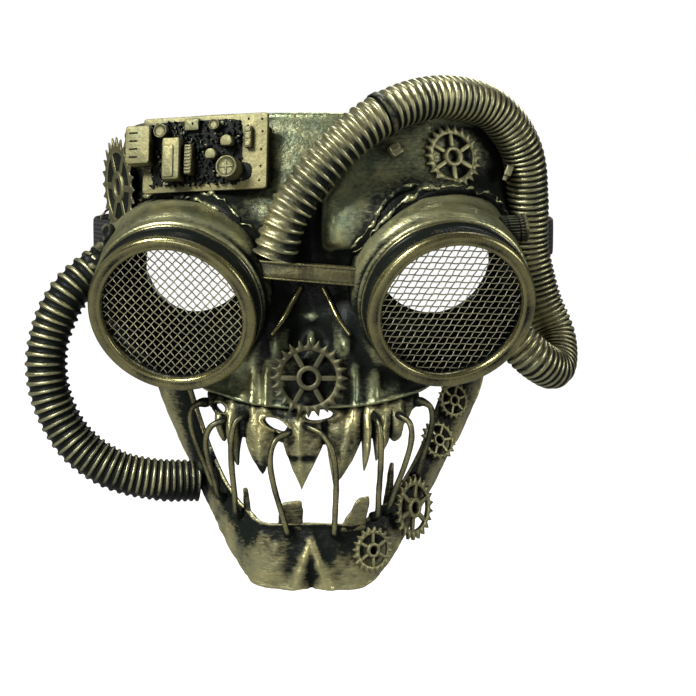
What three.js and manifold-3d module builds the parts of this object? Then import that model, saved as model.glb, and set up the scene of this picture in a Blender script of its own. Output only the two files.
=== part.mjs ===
// A steampunk skull mask: a moulded half skull with goggles, hoses, gears and a circuit board.
// Millimetres, +Z up. The face looks along -Y, and +X is on the right seen from the front.
// The origin is on the inside of the brow, on the middle plane, where the forehead rests.
import * as THREE from "three";
import { mergeVertices } from "three/addons/utils/BufferGeometryUtils.js";
import Module from "manifold-3d";

const wasm = await Module();
wasm.setup();

// Driving dimensions
const WALL = 2.5; // moulded skull and jaw
const GAP = 0.3; // clearance between pieces that meet
const CROWN_Z = 62; // top edge of the forehead on the middle line
const CROWN_DROP = 12; // how much lower that edge is at the temples
const DROP_FROM_Z = 8; // level where the top starts to lean down at the sides
const SEAM_Z = -59.5; // line where the upper teeth strip meets the face
const SEAM_WIDTH = 0.5;
const CORE_BACK_Y = 130; // how far back the trimming solid of the face reaches

const EYE_X = 52; // middle of each eye hole in the face
const EYE_Z = -1;
const EYE_HALF_WIDTH = 24.5;
const EYE_HALF_HEIGHT = 20.5;

// Middle of each goggle's front plane, and its turn outwards in degrees; the pair isn't quite alike.
const GOGGLES = [
  { word: "left", side: -1, x: -57, y: -24.5, z: -20, yaw: 9 },
  { word: "right", side: 1, x: 58.8, y: -23, z: -18, yaw: 15 },
];
const GOGGLE_PITCH = 21; // degrees downwards
const CUP_REACH = 78; // length of the cup before the face trims it
const CUP_WALL = 3;
const SCREEN_R = 31;
const SCREEN_THICK = 1.2;
const SCREEN_SET_BACK = 4.6; // front of the wire screen behind the front plane
const SCREEN_PITCH = 10;
const SCREEN_BAR = 1.8;
const SCREEN_EDGE = 1; // plain edge outside the lattice

const WIRE_R = 1.3; // bent rods across the mouth
const HOSE_R = 9.2; // corrugated hose over its ribs
const HOSE_ROOT_R = 7.8;
const HOSE_BORE_R = 6.4;
const HOSE_PITCH = 8.3; // spacing of the ribs
const HOSE_SIDES = 7;

const BOARD_LENGTH = 56;
const BOARD_HEIGHT = 32;
const BOARD_THICK = 1.8;

const BOARD_X = -42.5; // place of the board's middle on the forehead
const BOARD_Z = 44;
const BOARD_LIFT = 6.5;
const BOARD_ROLL = 0.07;
const BOARD_YAW = 18; // degrees to the left
const BOARD_TILT = 14; // degrees up
const BOSS_INSET = 3;
const BOSS_DEPTH = 14;

const BAR_LENGTH = 60; // before the goggle rims trim it
const BAR_HEIGHT = 8;
const BAR_THICK = 3;
const BAR_Y = -13;
const BAR_Z = -3;
const BAR_ROLL = 4.5; // degrees, lower on the right

const NOSE_ROD_R = 1.3;
const NOSE_ROD_TOP_X = 4.5;
const NOSE_ROD_TOP_Z = -10;
const NOSE_ROD_FOOT_X = 15;
const NOSE_ROD_FOOT_Z = -29;

const GEAR_ROOT = 0.84; // sizes of a gear's parts as shares of its tip radius
const GEAR_RIM = 0.68;
const GEAR_HUB = 0.34;
const GEAR_BORE = 0.2;
const GEAR_HALF_SPOKE = 0.065;
const GEAR_POST = 0.3;
const GEAR_POST_BITE = 0.4; // how far the post goes into the plate
const GEAR_BORE_SIDES = 6;
const GEAR_POST_SIDES = 8;

const KNOB_R = 6;
const KNOB_LENGTH = 8;
const KNOB_KNURLS = 14;
const KNOB_KNURL_DEPTH = 0.7;
const KNOB_ANGLE = 35; // degrees above the goggle's own level
const KNOB_SEAT_R = 37.2;
const KNOB_BEHIND = 33; // behind the goggle's front plane

const CLIP_X = 35; // the clip's place on the forehead
const CLIP_Z = 47;
const CLIP_WIDTH = 4.5;
const CLIP_HEIGHT = 6;
const CLIP_SPIN = 0.5;

const STRAP_WIDTH = 16;
const STRAP_THICK = 1.6;
const STRAP_Z = 2.5;
const STRAP_STEPS = 20;
// Half of the strap's way round the head, seen from above.
const STRAP_ROUTE = [
  [76.5, 46], [79.6, 56], [80.6, 64.5], [86, 72.5], [97, 79.5], [104, 92], [101.5, 116], [83, 137],
  [46, 149], [0, 153],
];

// Parts on the circuit board: place along it and up it, and size across, up and off the board.
const BOARD_PARTS = [
  { name: "plug_block", shape: "block", u: -27.2, v: 3.5, width: 11, high: 16, tall: 8 },
  { name: "small_capacitor_1", shape: "round", u: -18, v: 9.4, width: 6.2, tall: 6 },
  { name: "transformer", shape: "block", u: -11.6, v: -3.2, width: 7.8, high: 17.5, tall: 9 },
  { name: "coil_block", shape: "block", u: -4.9, v: -3.4, width: 3.4, high: 12.5, tall: 6.5 },
  { name: "chip", shape: "block", u: -5.2, v: 12, width: 6.6, high: 5, tall: 2.4 },
  { name: "small_capacitor_2", shape: "round", u: 5.6, v: 11.2, width: 4.8, tall: 4.5 },
  { name: "transistor_1", shape: "flat_sided", u: 11.9, v: 3.6, width: 5.4, tall: 6 },
  { name: "transistor_2", shape: "flat_sided", u: 5, v: -1.6, width: 5.4, tall: 6 },
  { name: "large_capacitor", shape: "round", u: 13.6, v: -7.8, width: 9.6, tall: 9.5 },
  { name: "diode", shape: "block", u: 20.4, v: 5.5, width: 3, high: 9, tall: 3 },
];

// The outer skin of the face, one row for each level: half width, depth of the middle line,
// depth of the back edge, and squareness of the section (2 is an ellipse).
const FACE_LEVELS = [
  { z: 66, halfWidth: 83.5, frontY: 11, backY: 61, square: 2.15 },
  { z: 45, halfWidth: 88, frontY: 2, backY: 64, square: 2.15 },
  { z: 28, halfWidth: 89, frontY: -3, backY: 66, square: 2.15 },
  { z: 12, halfWidth: 89, frontY: -4.5, backY: 66, square: 2.1 },
  { z: 0, halfWidth: 88, frontY: -2.5, backY: 66, square: 2.05 },
  { z: -12, halfWidth: 86, frontY: -3.5, backY: 64, square: 2 },
  { z: -24, halfWidth: 80, frontY: -9, backY: 57, square: 2 },
  { z: -36, halfWidth: 67, frontY: -12, backY: 42, square: 2 },
  { z: -48, halfWidth: 53, frontY: -14.5, backY: 24, square: 2.1 },
  { z: -60, halfWidth: 47, frontY: -16, backY: 11, square: 2.2 },
  { z: -75, halfWidth: 44.5, frontY: -16.5, backY: 8, square: 2.3 },
  { z: -98, halfWidth: 41, frontY: -14.5, backY: 8, square: 2.3 },
];

// Lumps and hollows of the face, the same on both sides: centre, reach and height over the skin.
const FACE_RELIEF = [
  { name: "brow arch", x: 38, z: 20, reachX: 24, reachZ: 10, height: 7 },
  { name: "inner brow", x: 15, z: 16, reachX: 9, reachZ: 12, height: 3.5 },
  { name: "groove between the brows", x: 0, z: 18, reachX: 5, reachZ: 18, height: -4 },
  { name: "temple", x: 80, z: 8, reachX: 10, reachZ: 20, height: -3 },
  { name: "nose hollow", x: 0, z: -27, reachX: 8, reachZ: 9, height: -6 },
  { name: "nose edge", x: 13, z: -27, reachX: 4.5, reachZ: 10, height: 3 },
  { name: "cheek", x: 38, z: -45, reachX: 12, reachZ: 9, height: -4.5 },
];

// Upper teeth: place of the tip, width to its left and right at the gum, and bluntness.
const UPPER_TEETH = [
  { tipX: -40.5, tipZ: -75, left: 3, right: 2, blunt: 1.2 },
  { tipX: -34.5, tipZ: -85, left: 3, right: 3.5, blunt: 1 },
  { tipX: -22, tipZ: -87.5, left: 6.5, right: 7.5, blunt: 1.4 },
  { tipX: -4, tipZ: -94.5, left: 7.5, right: 9, blunt: 1 },
  { tipX: 10, tipZ: -92.5, left: 3.5, right: 12, blunt: 1.2 },
  { tipX: 24, tipZ: -86, left: 2, right: 2, blunt: 1.6 },
  { tipX: 29.5, tipZ: -82.5, left: 2.5, right: 5, blunt: 1 },
  { tipX: 38, tipZ: -74.5, left: 3, right: 3, blunt: 1.6 },
];
const GUM_Z = -72.3; // edge of the strip between the teeth
const GUM_SAG = 2.5; // how much lower that edge is on the middle line
const GUM_SAG_REACH = 16;
const STRIP_ENDS = [-46.8, -44, -41.6, 43, 46.8]; // columns of the strip outside the teeth
const MIN_COLUMN = 0.6;
const TOOTH_WALL = 2.4;
const GUM_SLOTS = [
  { x: -37.5, z: -61.8, halfWidth: 2.8, halfHeight: 1.5 },
  { x: -13.5, z: -66.3, halfWidth: 5, halfHeight: 2 },
  { x: 6, z: -63.5, halfWidth: 6, halfHeight: 2.2 },
];

// The lower jaw from the chin back to the top of one side: its lower and its upper edge.
const JAW_STATIONS = [
  { lowX: 0, lowY: -11, lowZ: -137.5, topX: 0, topY: -13, topZ: -108 },
  { lowX: 21, lowY: -10, lowZ: -137, topX: 19.5, topY: -11, topZ: -108.5 },
  { lowX: 31, lowY: -1, lowZ: -129.5, topX: 26.5, topY: -5, topZ: -105 },
  { lowX: 40, lowY: 12, lowZ: -117, topX: 32.5, topY: 3, topZ: -101 },
  { lowX: 49, lowY: 27, lowZ: -103.5, topX: 38.5, topY: 13, topZ: -94.5 },
  { lowX: 57.5, lowY: 40, lowZ: -89, topX: 44, topY: 22, topZ: -86 },
  { lowX: 65.5, lowY: 50, lowZ: -75, topX: 49.5, topY: 31, topZ: -74.5 },
  { lowX: 72.5, lowY: 56.5, lowZ: -58, topX: 56, topY: 39, topZ: -58 },
  { lowX: 74.5, lowY: 58, lowZ: -38, topX: 64, topY: 45, topZ: -38 },
  { lowX: 76, lowY: 57, lowZ: -19, topX: 72, topY: 45, topZ: -19 },
];
const JAW_BULK = 12; // depth of the trimming solid behind the jaw's outer face
const JAW_BULGE = 3; // how far the jaw's outer face swells between its edges
const CHIN_RIDGE = 2.4; // the two ridges that run down the chin
const CHIN_RIDGE_SPREAD = 7.5; // half distance between them at the bottom
const CHIN_RIDGE_WIDTH = 3.2;
const CHIN_RIDGE_TOP = 0.8; // share of the chin's height where they meet
const JAW_FLARE = 1.6; // how fast the swell turns outwards from the chin, in radians
const JAW_FADE = 3.2; // how fast the swell fades at the top of each side

// Broken lower teeth that stand on the jaw's upper edge, each an outline of corners.
const LOWER_TEETH = [
  { along: -0.235, footHalf: 1.8, tipShift: -1.5, tipHalf: 0.7, height: 9 },
  { along: -0.047, footHalf: 5.6, tipShift: 0.6, tipHalf: 4.6, height: 9 },
  { along: 0.1, footHalf: 4.4, tipShift: 3.4, tipHalf: 2.4, height: 11 },
  { along: 0.315, footHalf: 3, tipShift: 2.6, tipHalf: 0.8, height: 16 },
];

// Rods over the mouth: foot on the upper strip, foot on the jaw, and how far they swing out.
const MOUTH_WIRES = [
  { topX: -45.5, topZ: -62, along: -0.43, up: 0.75, sway: -3, bow: 2.5 },
  { topX: -35, topZ: -65.5, along: -0.38, up: 0.75, sway: -5.5, bow: 3 },
  { topX: -27.5, topZ: -63, along: -0.265, up: 0.85, sway: -2.5, bow: 4 },
  { topX: -8.5, topZ: -68.8, along: -0.05, up: 0.87, sway: -7, bow: 6 },
  { topX: -1.5, topZ: -66.2, along: 0.05, up: 0.87, sway: 8.5, bow: 6 },
  { topX: 26, topZ: -63, along: 0.205, up: 0.96, sway: 0.5, bow: 6 },
  { topX: 36, topZ: -63.5, along: 0.275, up: 0.92, sway: 3, bow: 5 },
  { topX: 44.5, topZ: -61.5, along: 0.47, up: 0.85, sway: 3, bow: 2 },
];

// Gears on the face, by their place on it, and on the right side of the jaw. A gear that is turned
// out, in degrees, is raised a little more, so that its post clears the skin.
const FACE_GEARS = [
  { name: "nose_gear", x: -0.5, z: -47, lift: 3, raise: 0, turnOut: 0, tipR: 16.4, teeth: 18, spokes: 6, thick: 3 },
  { name: "forehead_gear", x: 57, z: 44.5, lift: 1, raise: 0, turnOut: 0, tipR: 13.5, teeth: 16, spokes: 6, thick: 2.6 },
  { name: "temple_gear", x: -83.6, z: 31.5, lift: 1, raise: 0.9, turnOut: -3, tipR: 21.6, teeth: 20, spokes: 6, thick: 2.6 },
];
const JAW_GEARS = [
  { name: "jaw_gear_1", along: 0.715, up: 0.8, lift: 1, tipR: 8.4, teeth: 12, spokes: 5, thick: 2.2 },
  { name: "jaw_gear_2", along: 0.6, up: 0.78, lift: 1, tipR: 9, teeth: 12, spokes: 5, thick: 2.2 },
  { name: "jaw_gear_3", along: 0.37, up: 0.5, lift: 1, tipR: 14, teeth: 16, spokes: 6, thick: 2.4 },
  { name: "jaw_gear_4", along: 0.145, up: 0.57, lift: 1, tipR: 10, teeth: 14, spokes: 6, thick: 2.4 },
];

// Routes of the two hoses, from end to end.
const LEFT_HOSE = [
  [-75, 42, 0.5], [-86, 36, -2], [-97, 29, -7.5], [-106.5, 24, -17], [-113.3, 22, -31], [-115.8, 20, -46],
  [-113, 19, -63], [-103, 18, -80.5], [-87, 18, -92], [-68, 21, -97], [-51, 25, -98],
];
const MAIN_HOSE = [
  [-15, -16, 4], [-9, -17, 22], [3, -15, 39], [20, -10, 56], [38.5, 0, 66],
  [56.5, 11, 68.5], [74.5, 24, 62.5], [86.5, 34, 45.5], [90, 40, 24], [91.5, 44.5, 2],
  [97, 46, -19], [104, 43.5, -37], [103, 32, -48.5], [94, 22, -43], [84, 20, -33], [72, 20, -20],
];

// Finishes
const finish = (color, roughness, metalness) =>
  new THREE.MeshStandardMaterial({ color, roughness, metalness });
const agedBrass = finish(0x6f6a45, 0.42, 0.85);
const brightBrass = finish(0x9a8d58, 0.36, 0.9);
const darkBrass = finish(0x4b4932, 0.45, 0.8);
const blackElastic = finish(0x141414, 0.9, 0);

const radians = THREE.MathUtils.degToRad;
const barMatrix = new THREE.Matrix4().makeRotationY(radians(BAR_ROLL)).setPosition(0, BAR_Y, BAR_Z);
const boardNormal = new THREE.Vector3(0, -1, 0)
  .applyAxisAngle(new THREE.Vector3(1, 0, 0), -radians(BOARD_TILT))
  .applyAxisAngle(new THREE.Vector3(0, 0, 1), -radians(BOARD_YAW));

const mask = new THREE.Group();

function addPiece(name, geometry, material, parent = mask) {
  const mesh = new THREE.Mesh(geometry, material);
  mesh.name = name;
  parent.add(mesh);
  return mesh;
}

// Helpers for closed solids

function signedVolume(positions, triangles) {
  const [a, b, c] = [new THREE.Vector3(), new THREE.Vector3(), new THREE.Vector3()];
  let volume = 0;
  for (let i = 0; i < triangles.length; i += 3) {
    a.fromArray(positions, triangles[i] * 3);
    b.fromArray(positions, triangles[i + 1] * 3);
    c.fromArray(positions, triangles[i + 2] * 3);
    volume += a.dot(b.cross(c)) / 6;
  }
  return volume;
}

// A geometry of shared points, turned inside out if its faces point inwards.
function closedGeometry(points, triangles) {
  const positions = points.flatMap((p) => [p.x, p.y, p.z]);
  if (signedVolume(positions, triangles) < 0) triangles.reverse();
  const geometry = new THREE.BufferGeometry();
  geometry.setAttribute("position", new THREE.Float32BufferAttribute(positions, 3));
  geometry.setIndex(triangles);
  return geometry;
}

function addQuad(triangles, a, b, c, d) {
  triangles.push(a, b, c, a, c, d);
}

// A closed wall between two grids of points with the same rows and columns.
function wallBetween(outer, inner) {
  const rows = outer.length;
  const columns = outer[0].length;
  const skin = rows * columns;
  const at = (row, column) => row * columns + column;
  const triangles = [];
  for (let r = 0; r + 1 < rows; r++) {
    for (let c = 0; c + 1 < columns; c++) {
      const corners = [at(r, c), at(r, c + 1), at(r + 1, c + 1), at(r + 1, c)];
      addQuad(triangles, ...corners);
      addQuad(triangles, ...corners.map((k) => k + skin).reverse());
    }
  }
  const rim = [];
  for (let c = 0; c < columns - 1; c++) rim.push(at(0, c));
  for (let r = 0; r < rows - 1; r++) rim.push(at(r, columns - 1));
  for (let c = columns - 1; c > 0; c--) rim.push(at(rows - 1, c));
  for (let r = rows - 1; r > 0; r--) rim.push(at(r, 0));
  rim.forEach((k, i) => {
    const next = rim[(i + 1) % rim.length];
    addQuad(triangles, next, k, k + skin, next + skin);
  });
  return closedGeometry([...outer.flat(), ...inner.flat()], triangles);
}

// A closed solid through rings of points. A looped one joins its last ring to its first,
// and any other has a flat cap on each end.
function solidThroughRings(rings, looped = false) {
  const sides = rings[0].length;
  const triangles = [];
  const joins = looped ? rings.length : rings.length - 1;
  for (let r = 0; r < joins; r++) {
    const next = (r + 1) % rings.length;
    for (let s = 0; s < sides; s++) {
      const t = (s + 1) % sides;
      addQuad(triangles, r * sides + s, r * sides + t, next * sides + t, next * sides + s);
    }
  }
  if (!looped) {
    const last = (rings.length - 1) * sides;
    for (let s = 1; s + 1 < sides; s++) {
      triangles.push(0, s + 1, s, last, last + s, last + s + 1);
    }
  }
  return closedGeometry(rings.flat(), triangles);
}

function toSolid(geometry, matrix = new THREE.Matrix4()) {
  const bare = geometry.clone();
  bare.deleteAttribute("normal");
  bare.deleteAttribute("uv");
  bare.applyMatrix4(matrix);
  const merged = mergeVertices(bare, 1e-4);
  const vertProperties = new Float32Array(merged.attributes.position.array);
  const triVerts = new Uint32Array(merged.index.array);
  if (signedVolume(vertProperties, triVerts) < 0) triVerts.reverse();
  return new wasm.Manifold(new wasm.Mesh({ numProp: 3, vertProperties, triVerts }));
}

function toGeometry(solid) {
  const { vertProperties, triVerts } = solid.getMesh();
  const geometry = new THREE.BufferGeometry();
  geometry.setAttribute("position", new THREE.Float32BufferAttribute(vertProperties, 3));
  geometry.setIndex([...triVerts]);
  return geometry;
}

// A smooth curve through a table's rows: the value of one column at a place along another.
function smoothValue(rows, key, column, place) {
  let i = 0;
  const rising = rows[1][key] > rows[0][key] ? 1 : -1;
  while (i < rows.length - 2 && (place - rows[i + 1][key]) * rising > 0) i++;
  const slope = (k) => {
    const a = rows[Math.max(k - 1, 0)];
    const b = rows[Math.min(k + 1, rows.length - 1)];
    return (b[column] - a[column]) / (b[key] - a[key]);
  };
  const [p, q] = [rows[i], rows[i + 1]];
  const span = q[key] - p[key];
  const t = (place - p[key]) / span;
  const u = 1 - t;
  const ends = (1 + 2 * t) * u * u * p[column] + t * t * (3 - 2 * t) * q[column];
  return ends + t * u * (u * slope(i) - t * slope(i + 1)) * span;
}

// The face

function reliefAt(x, z) {
  return FACE_RELIEF.reduce((sum, lump) => {
    const across = (Math.abs(x) - lump.x) / lump.reachX;
    const upward = (z - lump.z) / lump.reachZ;
    return sum + lump.height * Math.exp(-across * across - upward * upward);
  }, 0);
}

// A point of the outer skin: turn runs from -1 at the left back edge to 1 at the right one.
function facePoint(turn, z) {
  const level = {};
  for (const column of ["halfWidth", "frontY", "backY", "square"]) {
    level[column] = smoothValue(FACE_LEVELS, "z", column, z);
  }
  const angle = (turn * Math.PI) / 2;
  const across = Math.sign(angle) * Math.abs(Math.sin(angle)) ** (2 / level.square);
  const ahead = Math.abs(Math.cos(angle)) ** (2 / level.square);
  const depth = level.backY - level.frontY;
  const x = level.halfWidth * across;
  const out = new THREE.Vector2(across / level.halfWidth, -ahead / depth).normalize();
  out.multiplyScalar(reliefAt(x, z));
  const lean = Math.max(0, (z - DROP_FROM_Z) / (CROWN_Z - DROP_FROM_Z));
  const drop = CROWN_DROP * (1 - ahead) * lean;
  return new THREE.Vector3(x + out.x, level.backY - depth * ahead + out.y, z - drop);
}

// The turn at which the skin on a level has a given x.
function turnAt(x, z) {
  const halfWidth = smoothValue(FACE_LEVELS, "z", "halfWidth", z);
  const square = smoothValue(FACE_LEVELS, "z", "square", z);
  const sine = Math.min(1, Math.abs(x) / halfWidth) ** (square / 2);
  return (Math.sign(x) * Math.asin(sine) * 2) / Math.PI;
}

// Outward normal of a surface given by two parameters, from small steps of both.
function normalOf(surface, u, v, stepU, stepV) {
  const alongU = surface(u + stepU, v).sub(surface(u - stepU, v));
  const alongV = surface(u, v + stepV).sub(surface(u, v - stepV));
  return alongU.cross(alongV).normalize();
}

const TURN_STEP = 0.004;
const LEVEL_STEP = 0.4;

function faceNormal(turn, z) {
  const safeTurn = THREE.MathUtils.clamp(turn, -1 + TURN_STEP, 1 - TURN_STEP);
  return normalOf(facePoint, safeTurn, z, TURN_STEP, LEVEL_STEP);
}

function offsetFace(turn, z, distance) {
  return facePoint(turn, z).addScaledVector(faceNormal(turn, z), distance);
}

const spread = (from, to, count) =>
  Array.from({ length: count + 1 }, (_, i) => from + ((to - from) * i) / count);

const FACE_COLUMNS = spread(-1, 1, 20);
const FACE_ROWS = spread(CROWN_Z, SEAM_Z, 14);

function faceGrid(distance) {
  return FACE_ROWS.map((z) => FACE_COLUMNS.map((turn) => offsetFace(turn, z, distance)));
}

// Everything behind the outer skin: what sits on the face is trimmed by it.
function faceCore() {
  const skin = faceGrid(GAP);
  const back = skin.map((row) => row.map((p) => new THREE.Vector3(p.x, CORE_BACK_Y, p.z)));
  return toSolid(wallBetween(skin, back));
}

// An oval bar along Y, which cuts an eye hole or a slot.
function ovalBar(x, z, halfWidth, halfHeight, fromY, toY, sides) {
  const rings = [fromY, toY].map((y) => spread(0, 2 * Math.PI, sides).slice(0, sides).map(
    (a) => new THREE.Vector3(x + halfWidth * Math.cos(a), y, z + halfHeight * Math.sin(a))));
  return toSolid(solidThroughRings(rings));
}

const EYE_CUT_FROM_Y = -40;
const EYE_CUT_TO_Y = 62;
const EYE_SIDES = 20;

function skullShell() {
  let shell = toSolid(wallBetween(faceGrid(0), faceGrid(-WALL)));
  for (const side of [-1, 1]) {
    const hole = ovalBar(side * EYE_X, EYE_Z, EYE_HALF_WIDTH, EYE_HALF_HEIGHT,
      EYE_CUT_FROM_Y, EYE_CUT_TO_Y, EYE_SIDES);
    shell = shell.subtract(hole);
  }
  return toGeometry(shell);
}

const core = faceCore();
addPiece("skull_shell", skullShell(), agedBrass);

// Upper teeth: one strip whose lower edge runs round every fang.

function toothEdge(x) {
  const gum = GUM_Z - GUM_SAG * Math.exp(-((x / GUM_SAG_REACH) ** 2));
  return UPPER_TEETH.reduce((edge, tooth) => {
    const reach = x < tooth.tipX ? tooth.left : tooth.right;
    const away = Math.min(1, Math.abs(x - tooth.tipX) / reach);
    return Math.min(edge, tooth.tipZ + (gum - tooth.tipZ) * away ** tooth.blunt);
  }, gum);
}

const HALF_STOP_FROM = 5; // a wider side of a tooth gets one more column

function toothColumns() {
  const stops = [...STRIP_ENDS];
  for (const tooth of UPPER_TEETH) {
    stops.push(tooth.tipX - tooth.left, tooth.tipX, tooth.tipX + tooth.right);
    if (tooth.left > HALF_STOP_FROM) stops.push(tooth.tipX - tooth.left / 2);
    if (tooth.right > HALF_STOP_FROM) stops.push(tooth.tipX + tooth.right / 2);
  }
  stops.sort((a, b) => a - b);
  return stops.filter((x, i) => i === 0 || x - stops[i - 1] > MIN_COLUMN);
}

const GUM_CUT_FROM_Y = -30;
const GUM_CUT_TO_Y = 6;
const SLOT_SIDES = 8;

function upperTeeth() {
  const columns = toothColumns();
  const gumTop = SEAM_Z - SEAM_WIDTH;
  const grid = (distance) => [0, 0.5, 1].map((part) => columns.map((x) => {
    const turn = turnAt(x, gumTop);
    return offsetFace(turn, gumTop + (toothEdge(x) - gumTop) * part, distance);
  }));
  let strip = toSolid(wallBetween(grid(0), grid(-TOOTH_WALL)));
  for (const slot of GUM_SLOTS) {
    strip = strip.subtract(ovalBar(slot.x, slot.z, slot.halfWidth, slot.halfHeight,
      GUM_CUT_FROM_Y, GUM_CUT_TO_Y, SLOT_SIDES));
  }
  return toGeometry(strip);
}

addPiece("upper_teeth", upperTeeth(), agedBrass);

// The lower jaw

const jawRows = JAW_STATIONS.map((row, i) => ({ ...row, along: i / (JAW_STATIONS.length - 1) }));

// A point of the jaw's outer face: along is 0 at the chin and 1 or -1 at the top of a side,
// up is 0 on the lower edge and 1 on the upper edge.
function jawPoint(along, up) {
  const side = along < 0 ? -1 : 1;
  const value = (column) => smoothValue(jawRows, "along", column, Math.abs(along));
  const low = new THREE.Vector3(side * value("lowX"), value("lowY"), value("lowZ"));
  const top = new THREE.Vector3(side * value("topX"), value("topY"), value("topZ"));
  const point = low.lerp(top, up);
  const out = new THREE.Vector3(Math.sin(along * JAW_FLARE), -Math.cos(along * JAW_FLARE), 0);
  const fade = Math.min(1, JAW_FADE * (1 - Math.abs(along)));
  const swell = JAW_BULGE * Math.sin(Math.PI * up) * fade;
  const ridgeX = CHIN_RIDGE_SPREAD * (1 - up / CHIN_RIDGE_TOP);
  const ridge = Math.exp(-(((Math.abs(point.x) - ridgeX) / CHIN_RIDGE_WIDTH) ** 2));
  const onChin = up < CHIN_RIDGE_TOP ? CHIN_RIDGE * ridge * (1 - up) : 0;
  return point.addScaledVector(out, swell + onChin);
}

const ALONG_STEP = 0.006;
const UP_STEP = 0.02;

function jawNormal(along, up) {
  const safeAlong = THREE.MathUtils.clamp(along, -1 + ALONG_STEP, 1 - ALONG_STEP);
  return normalOf(jawPoint, safeAlong, up, ALONG_STEP, UP_STEP);
}

function offsetJaw(along, up, distance) {
  return jawPoint(along, up).addScaledVector(jawNormal(along, up), distance);
}

const TOOTH_ROOT_UP = 0.9; // place on the jaw where a broken tooth's plate starts
const TOOTH_ROOT_HALF = 1; // half thickness of that plate at its foot and at its tip
const TOOTH_TIP_HALF = 0.8;

// A broken tooth: a tapered plate that stands on the jaw's upper edge.
function lowerTooth(tooth) {
  const mid = -WALL / 2;
  const foot = offsetJaw(tooth.along, TOOTH_ROOT_UP, mid);
  const level = offsetJaw(tooth.along + ALONG_STEP, TOOTH_ROOT_UP, mid).sub(foot).setZ(0).normalize();
  const inward = new THREE.Vector3(-level.y, level.x, 0);
  const rise = new THREE.Vector3(0, 0, 1);
  const height = jawPoint(tooth.along, 1).z - foot.z + tooth.height;
  const ring = (half, shift, up, thick) => [[-1, -1], [1, -1], [1, 1], [-1, 1]].map(([a, b]) =>
    foot.clone().addScaledVector(level, a * half + shift)
      .addScaledVector(inward, b * thick).addScaledVector(rise, up));
  return toSolid(solidThroughRings([
    ring(tooth.footHalf, 0, 0, TOOTH_ROOT_HALF),
    ring(tooth.tipHalf, tooth.tipShift, height, TOOTH_TIP_HALF)]));
}

const JAW_ROWS = spread(0, 1, 4);
const JAW_COLUMNS = spread(-1, 1, 32);

function jawGrid(distance) {
  return JAW_ROWS.map((up) => JAW_COLUMNS.map((along) => offsetJaw(along, up, distance)));
}

function lowerJaw() {
  let jaw = toSolid(wallBetween(jawGrid(0), jawGrid(-WALL)));
  for (const tooth of LOWER_TEETH) jaw = jaw.add(lowerTooth(tooth));
  return toGeometry(jaw);
}

addPiece("lower_jaw", lowerJaw(), agedBrass);

// Rods, hoses and the strap: sections carried along curves

// Points of a round section at places along a curve, with a radius for each place.
function roundRings(curve, places, radii, sides) {
  const steps = places.length - 1;
  const frames = curve.computeFrenetFrames(steps, false);
  return places.map((place, i) => {
    const middle = curve.getPointAt(place);
    return spread(0, 2 * Math.PI, sides).slice(0, sides).map((a) => middle.clone()
      .addScaledVector(frames.normals[i], radii[i] * Math.cos(a))
      .addScaledVector(frames.binormals[i], radii[i] * Math.sin(a)));
  });
}

function rod(points, radius, steps, sides) {
  const curve = new THREE.CatmullRomCurve3(points, false, "centripetal");
  const places = spread(0, 1, steps);
  return solidThroughRings(roundRings(curve, places, places.map(() => radius), sides));
}

const WIRE_SEAT = 0.4; // clearance of a rod's end over the skin
const WIRE_REACH = 2.6; // how far a rod stands off before it turns along its way
const WIRE_STOPS = [0.2, 0.45, 0.75]; // shares of the way at which it is bent
const WIRE_STEPS = 6;
const WIRE_SIDES = 5;

MOUTH_WIRES.forEach((wire, i) => {
  const turn = turnAt(wire.topX, wire.topZ);
  const start = offsetFace(turn, wire.topZ, WIRE_SEAT);
  const leave = offsetFace(turn, wire.topZ, WIRE_REACH);
  const end = offsetJaw(wire.along, wire.up, WIRE_SEAT);
  const arrive = offsetJaw(wire.along, wire.up, WIRE_REACH);
  const out = faceNormal(turn, wire.topZ).setZ(0).normalize();
  const middle = WIRE_STOPS.map((part) => {
    const swing = Math.sin(Math.PI * Math.sqrt(part));
    return leave.clone().lerp(arrive, part)
      .add(new THREE.Vector3(wire.sway * swing, 0, 0)).addScaledVector(out, wire.bow * swing);
  });
  const points = [start, leave, ...middle, arrive, end];
  addPiece(`mouth_wire_${i + 1}`, rod(points, WIRE_R, WIRE_STEPS, WIRE_SIDES), brightBrass);
});

const vectors = (rows) => rows.map((row) => new THREE.Vector3(...row));
const BORE_STEP = 4; // the bore has a ring for every fourth rib

// A corrugated hose with an open bore: ribs outside, and plain rings back through the bore.
function hose(route) {
  const curve = new THREE.CatmullRomCurve3(vectors(route), false, "centripetal");
  const ribs = Math.round(curve.getLength() / HOSE_PITCH);
  const places = spread(0, 1, 2 * ribs);
  const radii = places.map((_, i) => (i % 2 ? HOSE_R : HOSE_ROOT_R));
  const outside = roundRings(curve, places, radii, HOSE_SIDES);
  const bore = roundRings(curve, places, places.map(() => HOSE_BORE_R), HOSE_SIDES);
  const kept = bore.filter((_, i) => i % (2 * BORE_STEP) === 0 || i === bore.length - 1);
  return toSolid(solidThroughRings([...outside, ...kept.reverse()], true));
}

// Goggles

// A profile turned about the goggle's axis: rows of radius and place ahead of the front plane.
const RIM_BACK = -12.4;
const RIM_PROFILE = [
  [29.8, -4.2], [30.1, -0.8], [32, 0], [34.8, -0.6], [35.6, -2], [34.9, -4.6], [34.9, -11],
  [36, RIM_BACK], [31.8, RIM_BACK], [31.8, -4.2],
];
const CUP_FRONT = RIM_BACK - GAP;
const CUP_PROFILE = [
  [36.2, CUP_FRONT], [36.2, -18.5], [37.2, -20], [36.8, -CUP_REACH],
];
const RIM_SIDES = 20;
const CUP_SIDES = 22;
const SCREEN_SIDES = 16;

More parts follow.
